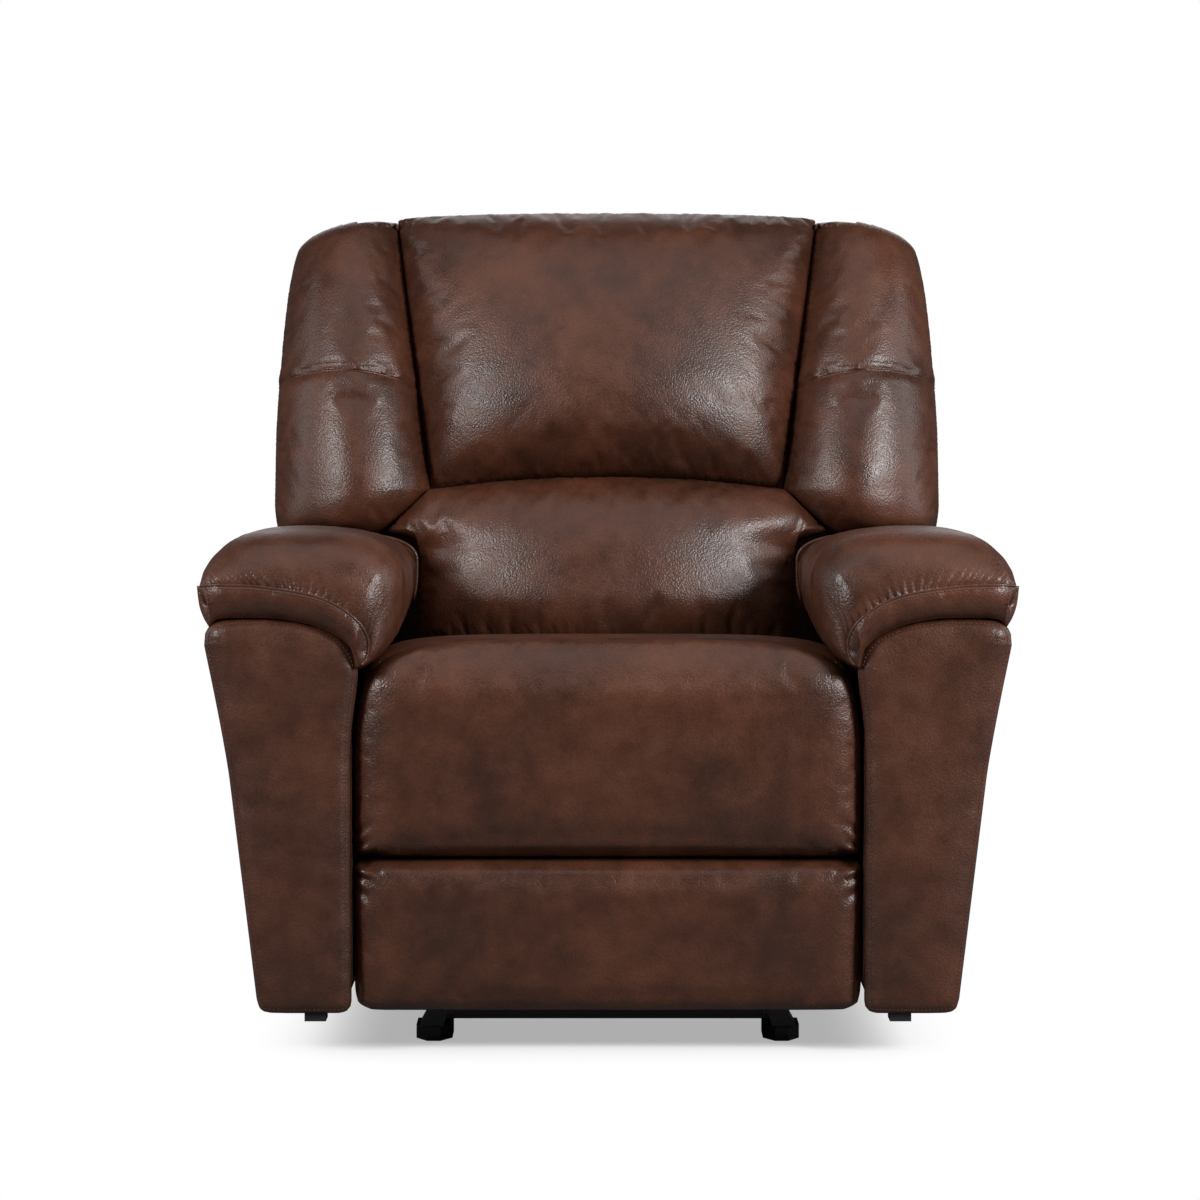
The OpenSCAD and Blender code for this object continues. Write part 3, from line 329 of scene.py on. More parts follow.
def pad(name, outline, height, place, mat, step=4.0, grid=7.0, wall=(), extra=None):
    """A stuffed piece: outline in its own plane, height(p, d, arc) over it, place(p, h) into space.
    step and grid: lengths of the mesh at the edge and within. extra: points that the mesh has to pass.
    wall: rows of (inset, height) from the edge to the back face."""
    out = resample(outline, step)
    n = len(out)
    tan = np.roll(out, -1, axis=0) - np.roll(out, 1, axis=0)
    tan /= norm(tan, axis=1)[:, None]
    nrm = cols(-tan[:, 1], tan[:, 0]) * turn(out)
    pts = [out]
    for r in RINGS:
        q = out + nrm * r
        d, _ = nearest(q, out)
        pts.append(q[(abs(d - r) < 0.08 * r + 0.05) & inside(q, out)])
    lo, hi = out.min(0), out.max(0)
    rows = arange(lo[1], hi[1], grid * 0.866)
    lat = array([(x + (j % 2) * grid / 2, y) for j, y in enumerate(rows)
                 for x in arange(lo[0], hi[0], grid)])
    lat = lat[inside(lat, out)]
    d, _ = nearest(lat, out)
    lat = lat[d > RINGS[-1] + 0.6 * grid]
    if extra is not None:
        extra = extra[inside(extra, out)]
        extra = extra[nearest(extra, out)[0] > 1.5]
        near2 = lambda q: ((q[:, None] - extra[None]) ** 2).sum(2).min(1)
        pts = [pts[0]] + [q[near2(q) > 2.2] for q in pts[1:]] + [extra]
        lat = lat[near2(lat) > 9.0]
    pts.append(lat)
    allp = vstack(pts)
    edges = [(i, (i + 1) % n) for i in range(n)]
    cut = lambda q: geometry.delaunay_2d_cdt([Vector(p) for p in q], edges, [], 1, 1e-4)
    res = cut(allp)
    p2 = array([tuple(v) for v in res[0]])
    back_of = {}
    for i, orig in enumerate(res[3]):
        for k in orig:
            back_of[k] = i
    rim = [back_of[i] for i in range(n)]
    d, arc = nearest(p2, out)
    h = height(p2, d, arc)
    v = [place(p2, h)]
    total = len(p2)
    faces = [tuple(f) for f in res[2]]
    last = rim
    for inset, hh in wall:
        row = out + nrm * inset
        hv = hh(row) if callable(hh) else full(n, float(hh))
        v.append(place(row, hv))
        now = list(range(total, total + n))
        total += n
        for i in range(n):
            j = (i + 1) % n
            faces.append((last[i], last[j], now[j], now[i]))
        last, last_p = now, row
    # the back face closes the last row
    res2 = cut(last_p)
    m2 = {}
    for i, orig in enumerate(res2[3]):
        for k in orig:
            m2[i] = last[k]
    faces += [tuple(m2[k] for k in f)[::-1] for f in res2[2] if all(k in m2 for k in f)]
    return orient(add_mesh(name, vstack(v), faces, mat)), dict(p2=p2, d=d)


def mirrored(o):
    """The left piece from the right one."""
    name = o.name.replace("_right", "_left")
    me = o.data.copy()
    me.name = name
    me.transform(Matrix.Scale(-1, 4, (1, 0, 0)))
    me.flip_normals()
    c = linked(name, me)
    if "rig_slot" in o:
        c["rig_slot"] = o["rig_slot"]
    return c


def tube(name, path, r, mat, n=8):
    """Round cord along points, for welts and piping."""
    p = np.asarray(path, float)
    m = len(p)
    t = np.gradient(p, axis=0)
    t /= norm(t, axis=1)[:, None] + 1e-12
    up = array([0.0, 0.0, 1.0]) if abs(t[0][2]) < 0.9 else array([1.0, 0, 0])
    a = np.cross(t[0], up)
    verts, faces = [], []
    for i in range(m):
        a = a - t[i] * (a @ t[i])
        a /= norm(a) + 1e-12
        b = np.cross(t[i], a)
        for k in range(n):
            w = 2 * math.pi * k / n
            verts.append(p[i] + r * (a * math.cos(w) + b * math.sin(w)))
    for i in range(m - 1):
        for k in range(n):
            k2 = (k + 1) % n
            faces.append((i * n + k, i * n + k2, (i + 1) * n + k2, (i + 1) * n + k))
    faces += [tuple(range(n))[::-1], tuple((m - 1) * n + k for k in range(n))]
    return orient(add_mesh(name, verts, faces, mat))


def stitches(name, path, normal, length=3.4, gap=1.5, r=0.42, lift=0.1):
    """A row of short thread stitches lying on a surface that faces along normal."""
    p, nv = np.asarray(path, float), np.asarray(normal, float)
    nv = nv / (norm(nv) + 1e-12)
    seg = norm(np.diff(p, axis=0), axis=1)
    s = np.concatenate([[0], np.cumsum(seg)])
    count = int(s[-1] // (length + gap))
    verts, faces = [], []
    at = lambda u: array([interp(u, s, p[:, k]) for k in range(3)])
    for c in range(count):
        u0 = c * (length + gap)
        a, b = at(u0), at(u0 + length)
        t = (b - a) / (norm(b - a) + 1e-12)
        side = np.cross(t, nv)
        base = len(verts)
        for f, rr, dn in ((0, 0.35, -0.6), (0.25, 1, 0.1), (0.75, 1, 0.1), (1, 0.35, -0.6)):
            c0 = a + (b - a) * f + nv * (lift + dn * r)
            for q in range(5):
                w = math.pi * 2 * q / 5
                verts.append(c0 + rr * r * (side * math.cos(w) + nv * math.sin(w)))
        for row in range(3):
            for q in range(5):
                q2, b0 = (q + 1) % 5, base + row * 5
                faces.append((b0 + q, b0 + q2, b0 + 5 + q2, b0 + 5 + q))
        faces += [tuple(base + q for q in range(5))[::-1], tuple(base + 15 + q for q in range(5))]
    return orient(add_mesh(name, verts, faces, "thread"))


STIFF = 12.0


def puff(o, pinned, pressure, cap, shrink, frames=20):
    """Cloth under pressure with its seams held; the result is applied.
    pinned: 1 holds a point, 0 frees it. cap: no point moves further than this, in millimetres."""
    rest = array([v.co for v in o.data.vertices], float)
    g = o.vertex_groups.new(name="pin")
    for i in np.nonzero(pinned > 0)[0]:
        g.add([int(i)], float(pinned[i]), "REPLACE")
    mod = o.modifiers.new("Cloth", "CLOTH")
    s = mod.settings
    s.use_pressure = True
    s.uniform_pressure_force = pressure
    s.effector_weights.gravity = 0.0
    s.quality = 6
    s.mass = 0.35
    s.tension_stiffness = s.compression_stiffness = STIFF
    s.shear_stiffness = STIFF * 0.6
    s.bending_stiffness = 1.5
    s.air_damping = 4.0
    s.shrink_min = shrink
    s.vertex_group_mass = "pin"
    s.pin_stiffness = 1.0
    mod.collision_settings.use_self_collision = False
    mod.collision_settings.use_collision = False
    mod.point_cache.frame_start, mod.point_cache.frame_end = 1, frames
    for f in range(1, frames + 1):
        scene.frame_set(f)
    dg = bpy.context.evaluated_depsgraph_get()
    ev = o.evaluated_get(dg).data
    now = array([v.co for v in ev.vertices], float)
    o.modifiers.remove(mod)
    scene.frame_set(1)
    if len(now) != len(rest) or not np.isfinite(now).all():
        return o
    move = now - rest
    ln = norm(move, axis=1)
    lim = cap * MM
    k = where(ln > 1e-9, lim * np.tanh(ln / lim) / maximum(ln, 1e-9), 0)
    now = rest + move * k[:, None]
    o.data.vertices.foreach_set("co", now.astype(np.float32).ravel())
    o.data.update()
    return o


def rim_pin(o, d):
    """Pin weights of a pad: held at its edge and behind, free from 4 mm within."""
    pin = ones(len(o.data.vertices))
    pin[:len(d)] = clip(1.3 - d / 3.0, 0, 1)
    return pin


def back_place(p, h):
    """Back space: p is across and up the frame (x, s), h is depth in front of the hinge line (t = -h)."""
    x, s, t = p[:, 0], p[:, 1], -h
    c, n = math.cos(RAKE), math.sin(RAKE)
    return cols(x, PIVOT[0] + t * c + s * n, PIVOT[1] - t * n + s * c)


def rounded(corners, r, seg=8):
    """Outline with rounded corners of radius r."""
    pts, n = [], len(corners)
    for i in range(n):
        p = array(corners[i], float)
        a, b = array(corners[i - 1], float) - p, array(corners[(i + 1) % n], float) - p
        la, lb = norm(a), norm(b)
        cut = min(r, la * 0.49, lb * 0.49)
        p0, p1 = p + a / la * cut, p + b / lb * cut
        for k in range(seg + 1):
            t = k / seg
            pts.append((1 - t)**2 * p0 + 2 * t * (1 - t) * p + t * t * p1)
    return array(pts)


def rising(f, a, b, n):
    """Points of an edge whose x follows from its height, from height a to b."""
    return [(float(f(v)), v) for v in linspace(a, b, n)]


def whole(right, top, bottom):
    """Closed outline of a symmetric piece from its right side, its top and its foot."""
    return array(right + top + [(-a, b) for a, b in right][::-1] + bottom)


def done(o, body, *replaced, soft=None):
    """Says what the piece rides on, which node it replaces and how far its cushion fills."""
    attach(o, body)
    if replaced:
        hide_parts(*replaced)


def pair(o, body, node, soft=None):
    """A piece of the right side in place of its node, and its mirror image on the left."""
    left = mirrored(o)
    done(o, body, node, soft=soft)
    done(left, body, node.replace("_right", "_left"), soft=soft)


# ---- back cushions
BACK_T = 18.1  # depth of the cushions' back faces
TOP_S, FOOT_S = 811.0, 396.0  # upper cushion: top and foot of its sides
TOP_X, FOOT_X = 299, 246  # and its half width there


def edge_rise(d, near, far, share=0.6):
    """A stuffed edge: a steep roll next to the seam and a slow crown further in."""
    return share * bulge(d, near, 2.0) + (1 - share) * bulge(d, far, 2.0)


def creases(p, rows):
    """Depth of soft folds: rows of (x0, y0, x1, y1, width, depth)."""
    out = zeros(len(p))
    for x0, y0, x1, y1, wide, deep in rows:
        a, v = array([x0, y0]), array([x1 - x0, y1 - y0])
        t = ((p - a) @ v) / (v @ v)
        n = abs((p - a) @ array([-v[1], v[0]])) / math.hypot(*v)
        w = wide * (0.7 + 0.5 * clip(t, 0, 1))
        k = clip(minimum(t + 0.15, 1 - t) * 4, 0, 1)
        k = k * k * (3 - 2 * k)
        out += deep * k * (exp(-(n / w) ** 2) - 0.35 * exp(-((n - 2.1 * w) / w) ** 2))
    return out


def fan(cx, cy, a0, a1, count, r0, r1, wide, deep, seed):
    """Folds fanning out from a point."""
    rng = np.random.RandomState(seed)
    rows = []
    for i in range(count):
        a = math.radians(a0 + (a1 - a0) * (i + rng.uniform(0.2, 0.8)) / count)
        q = r1 * rng.uniform(0.6, 1.05)
        rows.append((cx + r0 * math.cos(a), cy + r0 * math.sin(a),
                     cx + q * math.cos(a), cy + q * math.sin(a),
                     wide * rng.uniform(0.8, 1.2), deep * rng.uniform(0.6, 1.1)))
    return rows


def sheared(foot, top):
    """Places a piece whose foot is level: its front slides down the frame towards the foot."""
    def place(p, h):
        u = clip((p[:, 1] - foot) / (top - foot), 0, 1)
        return back_place(cols(p[:, 0], p[:, 1] - (1 - u) * h * math.tan(RAKE)), h)
    return place


def half_width(s):
    """Half width of the upper cushion, and of the gap between the wings."""
    return FOOT_X + (TOP_X - FOOT_X) * maximum(0, s - FOOT_S) / (TOP_S - FOOT_S)


def bottom_of_upper(x):
    """The arched seam between the upper cushion and the lumbar cushion."""
    return FOOT_S + 15 * (1 - (x / FOOT_X) ** 2)


def top_of_upper(x):
    return TOP_S - 2 - 6 * (abs(x) / TOP_X) ** 4


def upper_outline():
    s = linspace(FOOT_S + 3, TOP_S - 12, 60)
    return whole(list(zip(half_width(s) - 0.5, s)),
                 [(x, top_of_upper(x)) for x in linspace(292, -292, 60)],
                 [(x, bottom_of_upper(x)) for x in linspace(-240, 240, 50)])


def upper_t(s):
    return 152 * curve([0, 0.30, 0.50, 0.68, 0.82, 0.91, 0.965, 1],
                       [0.98, 1, 0.97, 0.89, 0.77, 0.65, 0.53, 0.42], (s - FOOT_S) / (TOP_S - FOOT_S))


def side_x(s):
    """The right seam of the upper cushion, as a straight line."""
    return TOP_X - 0.13 * (TOP_S - s)


UPPER_FOLDS = (fan(-298, 808, -70, -20, 5, 8, 40, 3.2, 1.8, 1)
               + fan(298, 808, -158, -112, 4, 8, 36, 3.2, 1.4, 2)
               + [(side_x(s) - 3, s, side_x(s) - 24 - (s % 11), s - 7 + (s % 6), 3.6, 1.1)
                  for s in (668, 687, 709, 728, 741)]
               + fan(250, 396, 118, 150, 2, 10, 58, 6.0, 1.5, 4))


def upper_height(p, d, arc):
    x, s = p.T
    side = half_width(s) - abs(x)
    foot = s - bottom_of_upper(x)
    top = top_of_upper(x) - s
    r = clip(abs(x) / half_width(s), 0, 1)
    across = 0.44 * edge_rise(side, 28, 84, 0.66) + 0.56 * (1 - r ** 2.1)
    q = across * edge_rise(foot, 36, 130, 0.46) * edge_rise(top, 30, 62, 0.72)
    h = upper_t(s) * (0.33 + 0.70 * q)
    k = exp(-maximum(side, 0) / 12)
    h += k * (0.7 * noise1(s / 17 + np.sign(x) * 9, 3) + 0.3 * noise1(s / 8 + np.sign(x) * 5, 4))
    h += 1.6 * noise1(x / 85 + 3, 6) * noise1(s / 95, 8) * bulge(d, 80)
    return BACK_T + h - creases(p, UPPER_FOLDS)


def cushion_wall(thick):
    """Wall of a back cushion, from the seam at 0.22 of its thickness to its back face."""
    return [(0.4, lambda r: BACK_T + thick(r[:, 1]) * 0.22), (1.5, BACK_T + 14), (3, BACK_T + 1)]


FINE = dict(step=3.2, grid=5.4)
upper, inf = pad("back_upper_pad", upper_outline(), upper_height, back_place, "back",
                 wall=cushion_wall(upper_t), **FINE)
puff(upper, rim_pin(upper, inf["d"]), pressure=3.0, cap=9.0, shrink=-0.02)
done(upper, "back", "back_upper_cushion", soft=0.8)


LUMBAR_FOOT, LUMBAR_TOP = 208.0, 402.0


def lumbar_half(s):
    """The lumbar cushion flares out above the arm pads, under the drawn-in foot of the wings."""
    return curve([208, 300, 333, 340, 345, 350, 362, 380, 402, 430],
                 [257, 257, 263, 285, 314, 318, 300, 272, 247, 246], s)


def lumbar_outline():
    return whole(rising(lumbar_half, LUMBAR_FOOT + 8, 398, 110),
                 [(x, bottom_of_upper(x) - 1.0) for x in linspace(238, -238, 50)],
                 [(x, LUMBAR_FOOT) for x in linspace(-249, 249, 40)])


def lumbar_t(s):
    return 168 * curve([208, 225, 262, 310, 350, 385, 411], [0.84, 0.93, 1.0, 1.0, 0.97, 0.92, 0.88], s)


LUMBAR_FOLDS = (fan(292, 362, 128, 172, 3, 18, 80, 6.0, 2.6, 11)
                + fan(-292, 362, 14, 50, 2, 18, 70, 6.0, 1.6, 12)
                + [(246, 292, 190, 300, 8, 1.8), (-246, 284, -196, 290, 8, 1.4)])


def lumbar_height(p, d, arc):
    x, s = p.T
    ax = abs(x)
    u = clip((s - 314) / 36, 0, 1)
    wide = 264 + 60 * u * u * (3 - 2 * u)
    r = clip(ax / wide, 0, 1)
    across = 0.42 * edge_rise(wide - ax, 28, 84, 0.66) + 0.58 * (1 - r ** 2.1)
    top = where(ax < FOOT_X, bottom_of_upper(x), FOOT_S - (ax - FOOT_X) * 0.86) - 1 - s
    q = across * edge_rise(top, 34, 110, 0.55)
    h = lumbar_t(s) * (0.35 + 0.67 * q)
    k = exp(-maximum(d, 0) / 12)
    h += k * (0.6 * noise1(s / 15 + np.sign(x) * 9, 13) + 0.3 * noise1(s / 7 + np.sign(x) * 5, 14))
    h += 1.6 * noise1(x / 80 + 7, 15) * noise1(s / 70, 16) * bulge(d, 70)
    return BACK_T + h - creases(p, LUMBAR_FOLDS)


lumbar, inf = pad("lumbar_pad", lumbar_outline(), lumbar_height, sheared(LUMBAR_FOOT, LUMBAR_TOP), "back",
                  wall=cushion_wall(lumbar_t), **FINE)
puff(lumbar, rim_pin(lumbar, inf["d"]), pressure=3.0, cap=8.0, shrink=-0.02)
done(lumbar, "back", "lumbar_cushion", soft=0.8)


# ---- wings
WING_FOOT, WING_TOP = 354.0, 801.0
WING_T = 14.3  # depth of the wings' back faces
WING_BEND = 784  # the outer edge turns into the rounded top here


def wing_inner(s):
    """Edge next to the two centre cushions, measured on the sheared face."""
    u = clip((s - WING_FOOT) / (WING_TOP - WING_FOOT), 0, 1)
    on = s - (1 - u) * 62 * math.tan(RAKE)
    flare = interp(on, [328, 338, 352, 370, 388, 402], [309, 306, 292, 270, 253, 246])
    return where(on > 402, half_width(on), flare) - 1.5


def wing_outer(s):
    return curve([354, 398, 485, 603, 691, 721, 753, 772, WING_BEND],
                 [460, 465, 465, 459.5, 452.5, 448, 441, 425, 402], s)


def wing_outline():
    inner = rising(wing_inner, WING_FOOT + 3, WING_TOP - 7, 120)
    outer = rising(wing_outer, WING_FOOT + 6, WING_BEND, 110)
    top = [(392, 789), (380, 794), (362, 798.5), (342, 801), (322, 801), (308, 798.5)]
    foot = [(x, WING_FOOT + e) for x, e in ((308, -5), (326, -6), (344, -3), (380, 0), (430, 0.5), (452, 2))]
    return array(inner[::-1] + foot + outer + top)


def wing_t(s):
    return 148 * curve([354, 372, 410, 470, 560, 640, 700, 750, 780, 801],
                       [0.80, 0.90, 0.98, 1.0, 0.98, 0.91, 0.82, 0.69, 0.57, 0.42], s)


def seam_s(x):
    """The cross seam, arched across the wing."""
    return 562 + 9 * (1 - ((x - 375) / 85.0) ** 2)


WING_FOLDS = ([(250 + 0.13 * (s - 400), s, 270 + 0.13 * (s - 400) + (s % 9), s + 8 - (s % 5), 4.0, 1.3)
               for s in (436, 463, 497)]
              + fan(252, 404, -34, 58, 6, 8, 58, 4.4, 2.2, 27)
              + fan(296, 350, 24, 70, 3, 14, 60, 5.0, 2.0, 21)
              + [(463, s, 443 - (s % 9), s - 3 + (s % 7), 4.6, 1.9) for s in (588, 607, 629, 648, 672, 699)])


def wing_height(p, d, arc):
    x, s = p.T
    din = x - wing_inner(s)
    dout = where(s < WING_BEND, wing_outer(minimum(s, WING_BEND)) - x, d)
    foot, top = s - WING_FOOT, maximum(801 - ((x - 332) / 24.0) ** 2 * 0.55 - s, 0)
    w = maximum(din + dout, 1.0)
    u = clip(din / w, 0, 1)
    inner = 0.42 * bulge(din, 26, 2.0) + 0.58 * (1 - clip(1 - u / 0.56, 0, 1) ** 2.2)
    q = inner * edge_rise(foot, 26, 90, 0.6) * edge_rise(top, 32, 66, 0.7)
    h = wing_t(s) * (0.34 + 0.66 * q) * (0.12 + 0.88 * bulge(dout, 0.66 * w, 2.0))
    e = s - seam_s(x)
    fade = clip(din / 12, 0, 1) * clip(dout / 5, 0, 1)
    h -= fade * (2.4 * exp(-(e / 1.7) ** 2) + 1.6 * exp(-(e / 12.0) ** 2))
    # small gathers along the cross seam, then along the inner seam and the outer edge
    h += fade * exp(-abs(e) / 9) * 0.5 * noise1(x / 8.5, 22)
    k = exp(-maximum(din, 0) / 13) * clip((600 - s) / 60, 0.3, 1)
    h += k * (0.8 * noise1(s / 14, 23) + 0.4 * noise1(s / 6.5, 24))
    h += exp(-maximum(dout, 0) / 20) * (1.3 * noise1(s / 20, 25) + 0.5 * noise1(s / 9, 26))
    return WING_T + h - creases(p, WING_FOLDS)


seam_x = arange(272, 458, 2.6)
seam_pts = vstack([cols(seam_x, seam_s(seam_x) + e)
                   for e in (-4.6, -2.6, -1.3, 0, 1.3, 2.6, 4.6)])
wing, inf = pad("wing_pad_right", wing_outline(), wing_height, sheared(WING_FOOT, WING_TOP), "back",
                wall=[(0.3, lambda r: WING_T + wing_t(r[:, 1]) * 0.04 + 3), (2, 14.4)],
                extra=seam_pts, **FINE)
pin = rim_pin(wing, inf["d"])
to_seam = abs(inf["p2"][:, 1] - seam_s(inf["p2"][:, 0]))
pin[:len(to_seam)] = maximum(pin[:len(to_seam)], clip(1.2 - to_seam / 4.0, 0, 1))
puff(wing, pin, pressure=3.0, cap=8.0, shrink=-0.02)
pair(wing, "back", "wing_right", 0.75)


# ---- outer back
OUTER = [(284, -5), (285.6, 2), (285.6, 72), (308.5, 76), (309.6, 90), (309.6, 198), (325, 214), (325.5, 400),
         (332, 403.5), (430, 403.5), (437, 410), (437, 696), (435.2, 718.4), (429.6, 735.6), (420.4, 750.6),
         (407.8, 763), (392, 772.8), (373.4, 779.6), (351.8, 784), (324, 785.4)]
OUTER_H = 58.5  # height of the leather over the hinge line, at its edge
SEAM_X, SEAM_S = 212, 405  # its upright seams and its cross seam


def outer_height(p, d, arc):
    """Leather pulled over the boards, with a stitched seam on each side and one across."""
    x, s = p.T
    h = OUTER_H + 5.5 * bulge(d, 90, 2.0)
    for e in (abs(x) - SEAM_X, s - SEAM_S):
        h -= 2.2 * exp(-(e / 2.4) ** 2) * clip(d / 6, 0, 1)
    return (h + 0.9 * noise1(x / 70 + s / 110, 71) * bulge(d, 40)
            + 0.5 * noise1(arc / 14, 72) * exp(-d / 14))


def outer_place(p, h):
    return back_place(p, -h)


line_s, line_x = arange(2, 776, 3.0), arange(-428, 429, 3.0)
line_x = line_x[abs(abs(line_x) - SEAM_X) > 6]
BESIDE = (-3.6, -1.8, 0, 1.8, 3.6)
fine_rows = vstack([cols(np.full_like(line_s, k * SEAM_X + e), line_s)
                    for k in (-1, 1) for e in BESIDE]
                   + [cols(line_x, np.full_like(line_x, SEAM_S + e)) for e in BESIDE])
outer, inf = pad("outer_back_upholstery", whole(OUTER, [], []), outer_height, outer_place, "panel",
                 step=5.0, grid=12.0, extra=fine_rows,
                 wall=[(0.5, 50.0), (1.0, lambda r: where(r[:, 1] > 408, -13.4, 40.6))])
# the wall and the back face are flat, so that the wall's shading stays clean
for f in outer.data.polygons:
    if min(f.vertices) >= len(inf["p2"]):
        f.use_smooth = False
done(outer, "back", "outer_back_panel")
for k in (-1, 1):
    for e in (-5.5, 5.5):
        q = cols(np.full_like(line_s, k * SEAM_X + e), line_s)
        crown = 5.5 * bulge(minimum(line_s + 5, 782 - line_s), 90, 2.0)
        path = outer_place(q, full(len(q), OUTER_H) + crown - 0.1)
        done(stitches("outer_back_stitch", path, [0, math.cos(RAKE), -math.sin(RAKE)]), "back")


# ---- seat and chaise front
CREASE = 238.0  # height of the seam between the two pads


def upright(y, way):
    """Places a piece on an upright plane at y: p is across and up, h stands out from it."""
    return lambda p, h: cols(p[:, 0], y + way * h, p[:, 1])


front_place = upright(-401.3, -1)  # in front of the footrest board


def chaise_half(z):
    return 310.4 * curve([238, 256, 300, 380, 431, 459, 474, 486, 494, 500],
                       [0.985, 0.997, 1.0, 0.998, 0.976, 0.942, 0.9, 0.84, 0.75, 0.6], z)


def chaise_outline():
    return whole(rising(chaise_half, CREASE + 0.5, 500, 90),
                 [(x, 501 + 4 * (1 - (x / 184) ** 2)) for x in linspace(176, -176, 30)],
                 [(x, CREASE + 0.5) for x in linspace(-298, 298, 50)])


# puckers at the ends of the crease
PINCH = [(312, 238, 276, 246, 5, 7.0), (312, 252, 288, 262, 4, 3.6), (309, 268, 292, 283, 5, 2.4),
         (300, 241, 262, 243, 3.4, 3.0)]
PINCH_LOW = [(312, 237, 272, 226, 5, 7.0), (311, 222, 284, 210, 4, 3.6), (308, 207, 290, 192, 5, 2.4)]


def chaise_height(p, d, arc):
    x, z = p.T
    side = chaise_half(z) - abs(x)
    foot = z - CREASE
    top = 504 - z
    t = 59 * (0.34 + 0.66 * edge_rise(side, 15, 58, 0.66))
    t *= 0.16 + 0.84 * edge_rise(foot, 17, 60, 0.8)
    t *= 0.10 + 0.90 * bulge(top, 62, 2.0)
    t += 3.5 * (1 - (x / 306) ** 2) * bulge(foot, 60)
    t -= creases(cols(abs(x), z), PINCH)
    k = exp(-maximum(foot, 0) / 14)
    t += k * 0.9 * noise1(x / 13, 34)
    return t


chaise, inf = pad("footrest_upper_padding", chaise_outline(), chaise_height, front_place, "cushion",
                  wall=[(0.5, 5.0), (2, 0.3)])
puff(chaise, rim_pin(chaise, inf["d"]), pressure=2.5, cap=5.0, shrink=-0.008)
done(chaise, "footrest", "footrest_upper_pad", soft=0.85)


LOWER_HALF, LOWER_FOOT = 310.2, 50.5


def lower_outline():
    z = linspace(62, CREASE - 1, 40)
    w = LOWER_HALF * curve([62, 76, 100, 212, 230, 238], [0.982, 0.995, 1.0, 0.998, 0.99, 0.975], z)
    bot = [(x, LOWER_FOOT + 3.0 * (abs(x) / 300) ** 8 + 0.8 * math.sin(x / 31.0))
           for x in linspace(-288, 288, 50)]
    return whole(list(zip(w, z)), [(x, CREASE - 0.8) for x in linspace(296, -296, 50)], bot)


def lower_height(p, d, arc):
    x, z = p.T
    side = LOWER_HALF - abs(x)
    top = CREASE - z
    foot = z - LOWER_FOOT
    t = 57 * (0.36 + 0.64 * edge_rise(side, 14, 50, 0.7))
    t *= 0.16 + 0.84 * edge_rise(top, 15, 50, 0.82)
    t *= 0.55 + 0.45 * bulge(foot, 16, 2.0)
    t -= 5.0 * clip((170 - z) / 110, 0, 1)
    t -= creases(cols(abs(x), z), PINCH_LOW)
    k = exp(-maximum(top, 0) / 14)
    t += k * 0.9 * noise1(x / 11, 44)
    return t


lower, inf = pad("footrest_lower_padding", lower_outline(), lower_height, front_place, "cushion",
                 wall=[(0.5, 5.0), (2, 0.3)])
puff(lower, rim_pin(lower, inf["d"]), pressure=2.0, cap=4.0, shrink=-0.006)
done(lower, "footrest", "footrest_lower_pad", soft=0.8)


# seat cushion: a loft from front to rear
def quads(n, rows):
    """Faces between rings of n points."""
    return [(j * n + i, j * n + (i + 1) % n, (j + 1) * n + (i + 1) % n, (j + 1) * n + i)
            for j in range(rows - 1) for i in range(n)]


def loft(name, rings, mat):
    """Closed form through rings of equal length, its ends closed by shrinking rings."""
    n = len(rings[0])

    def close(r):
        c = r.mean(0)
        return [c + (r - c) * k for k in (0.85, 0.65, 0.4, 0.15)]

    head, tail = close(rings[0])[::-1], close(rings[-1])
    allr = head + rings + tail
    v = vstack(allr + [head[0].mean(0)[None], tail[-1].mean(0)[None]])
    m = len(allr)
    f = quads(n, m)
    f += [(m * n, (i + 1) % n, i) for i in range(n)]
    f += [(m * n + 1, (m - 1) * n + i, (m - 1) * n + (i + 1) % n) for i in range(n)]
    return orient(add_mesh(name, v, f, mat))


SEAT_Y, SEAT_LEN, SEAT_FOOT = -379, 487, 352.3


def squircle(a, e):
    """Cosine and sine of a superellipse of exponent e."""
    return [np.sign(q) * abs(q) ** (2 / e) for q in (np.cos(a), np.sin(a))]


def seat_ring(y, n=120):
    """Section of the seat cushion at y, with its crown near the front."""
    u = (y - SEAT_Y) / SEAT_LEN
    w = 306 * curve([0, 0.012, 0.04, 0.09, 0.5, 0.8, 0.92, 0.97, 1],
                    [0.955, 0.975, 0.99, 0.998, 1.0, 1.0, 0.995, 0.985, 0.96], u)
    top = 455 + 43.5 * curve([0, 0.012, 0.04, 0.09, 0.15, 0.24, 0.38, 0.52, 0.66, 0.8, 0.92, 0.97, 1],
                             [0.5, 0.74, 0.9, 0.975, 1, 0.95, 0.74, 0.5, 0.3, 0.14, 0.02, -0.14, -0.5], u)
    zc, hh = (SEAT_FOOT + top) / 2, (top - SEAT_FOOT) / 2
    cx, cz = squircle(2 * np.pi * (arange(n) + 0.5) / n, 4.6)
    return cols(w * cx, full(n, y), zc + hh * cz)


ys = ([SEAT_Y + SEAT_LEN * t for t in (0, 0.006, 0.015, 0.03, 0.05, 0.075)] + list(linspace(-330, 60, 56))
      + [SEAT_Y + SEAT_LEN * t for t in (0.93, 0.955, 0.975, 0.99, 1.0)])
seat = loft("seat_padding", [seat_ring(y) for y in ys], "cushion")
co = array([v.co for v in seat.data.vertices]) / MM
pin = clip((400 - co[:, 2]) / 20, 0, 1)
puff(seat, pin, pressure=2.0, cap=3.0, shrink=-0.006, frames=12)
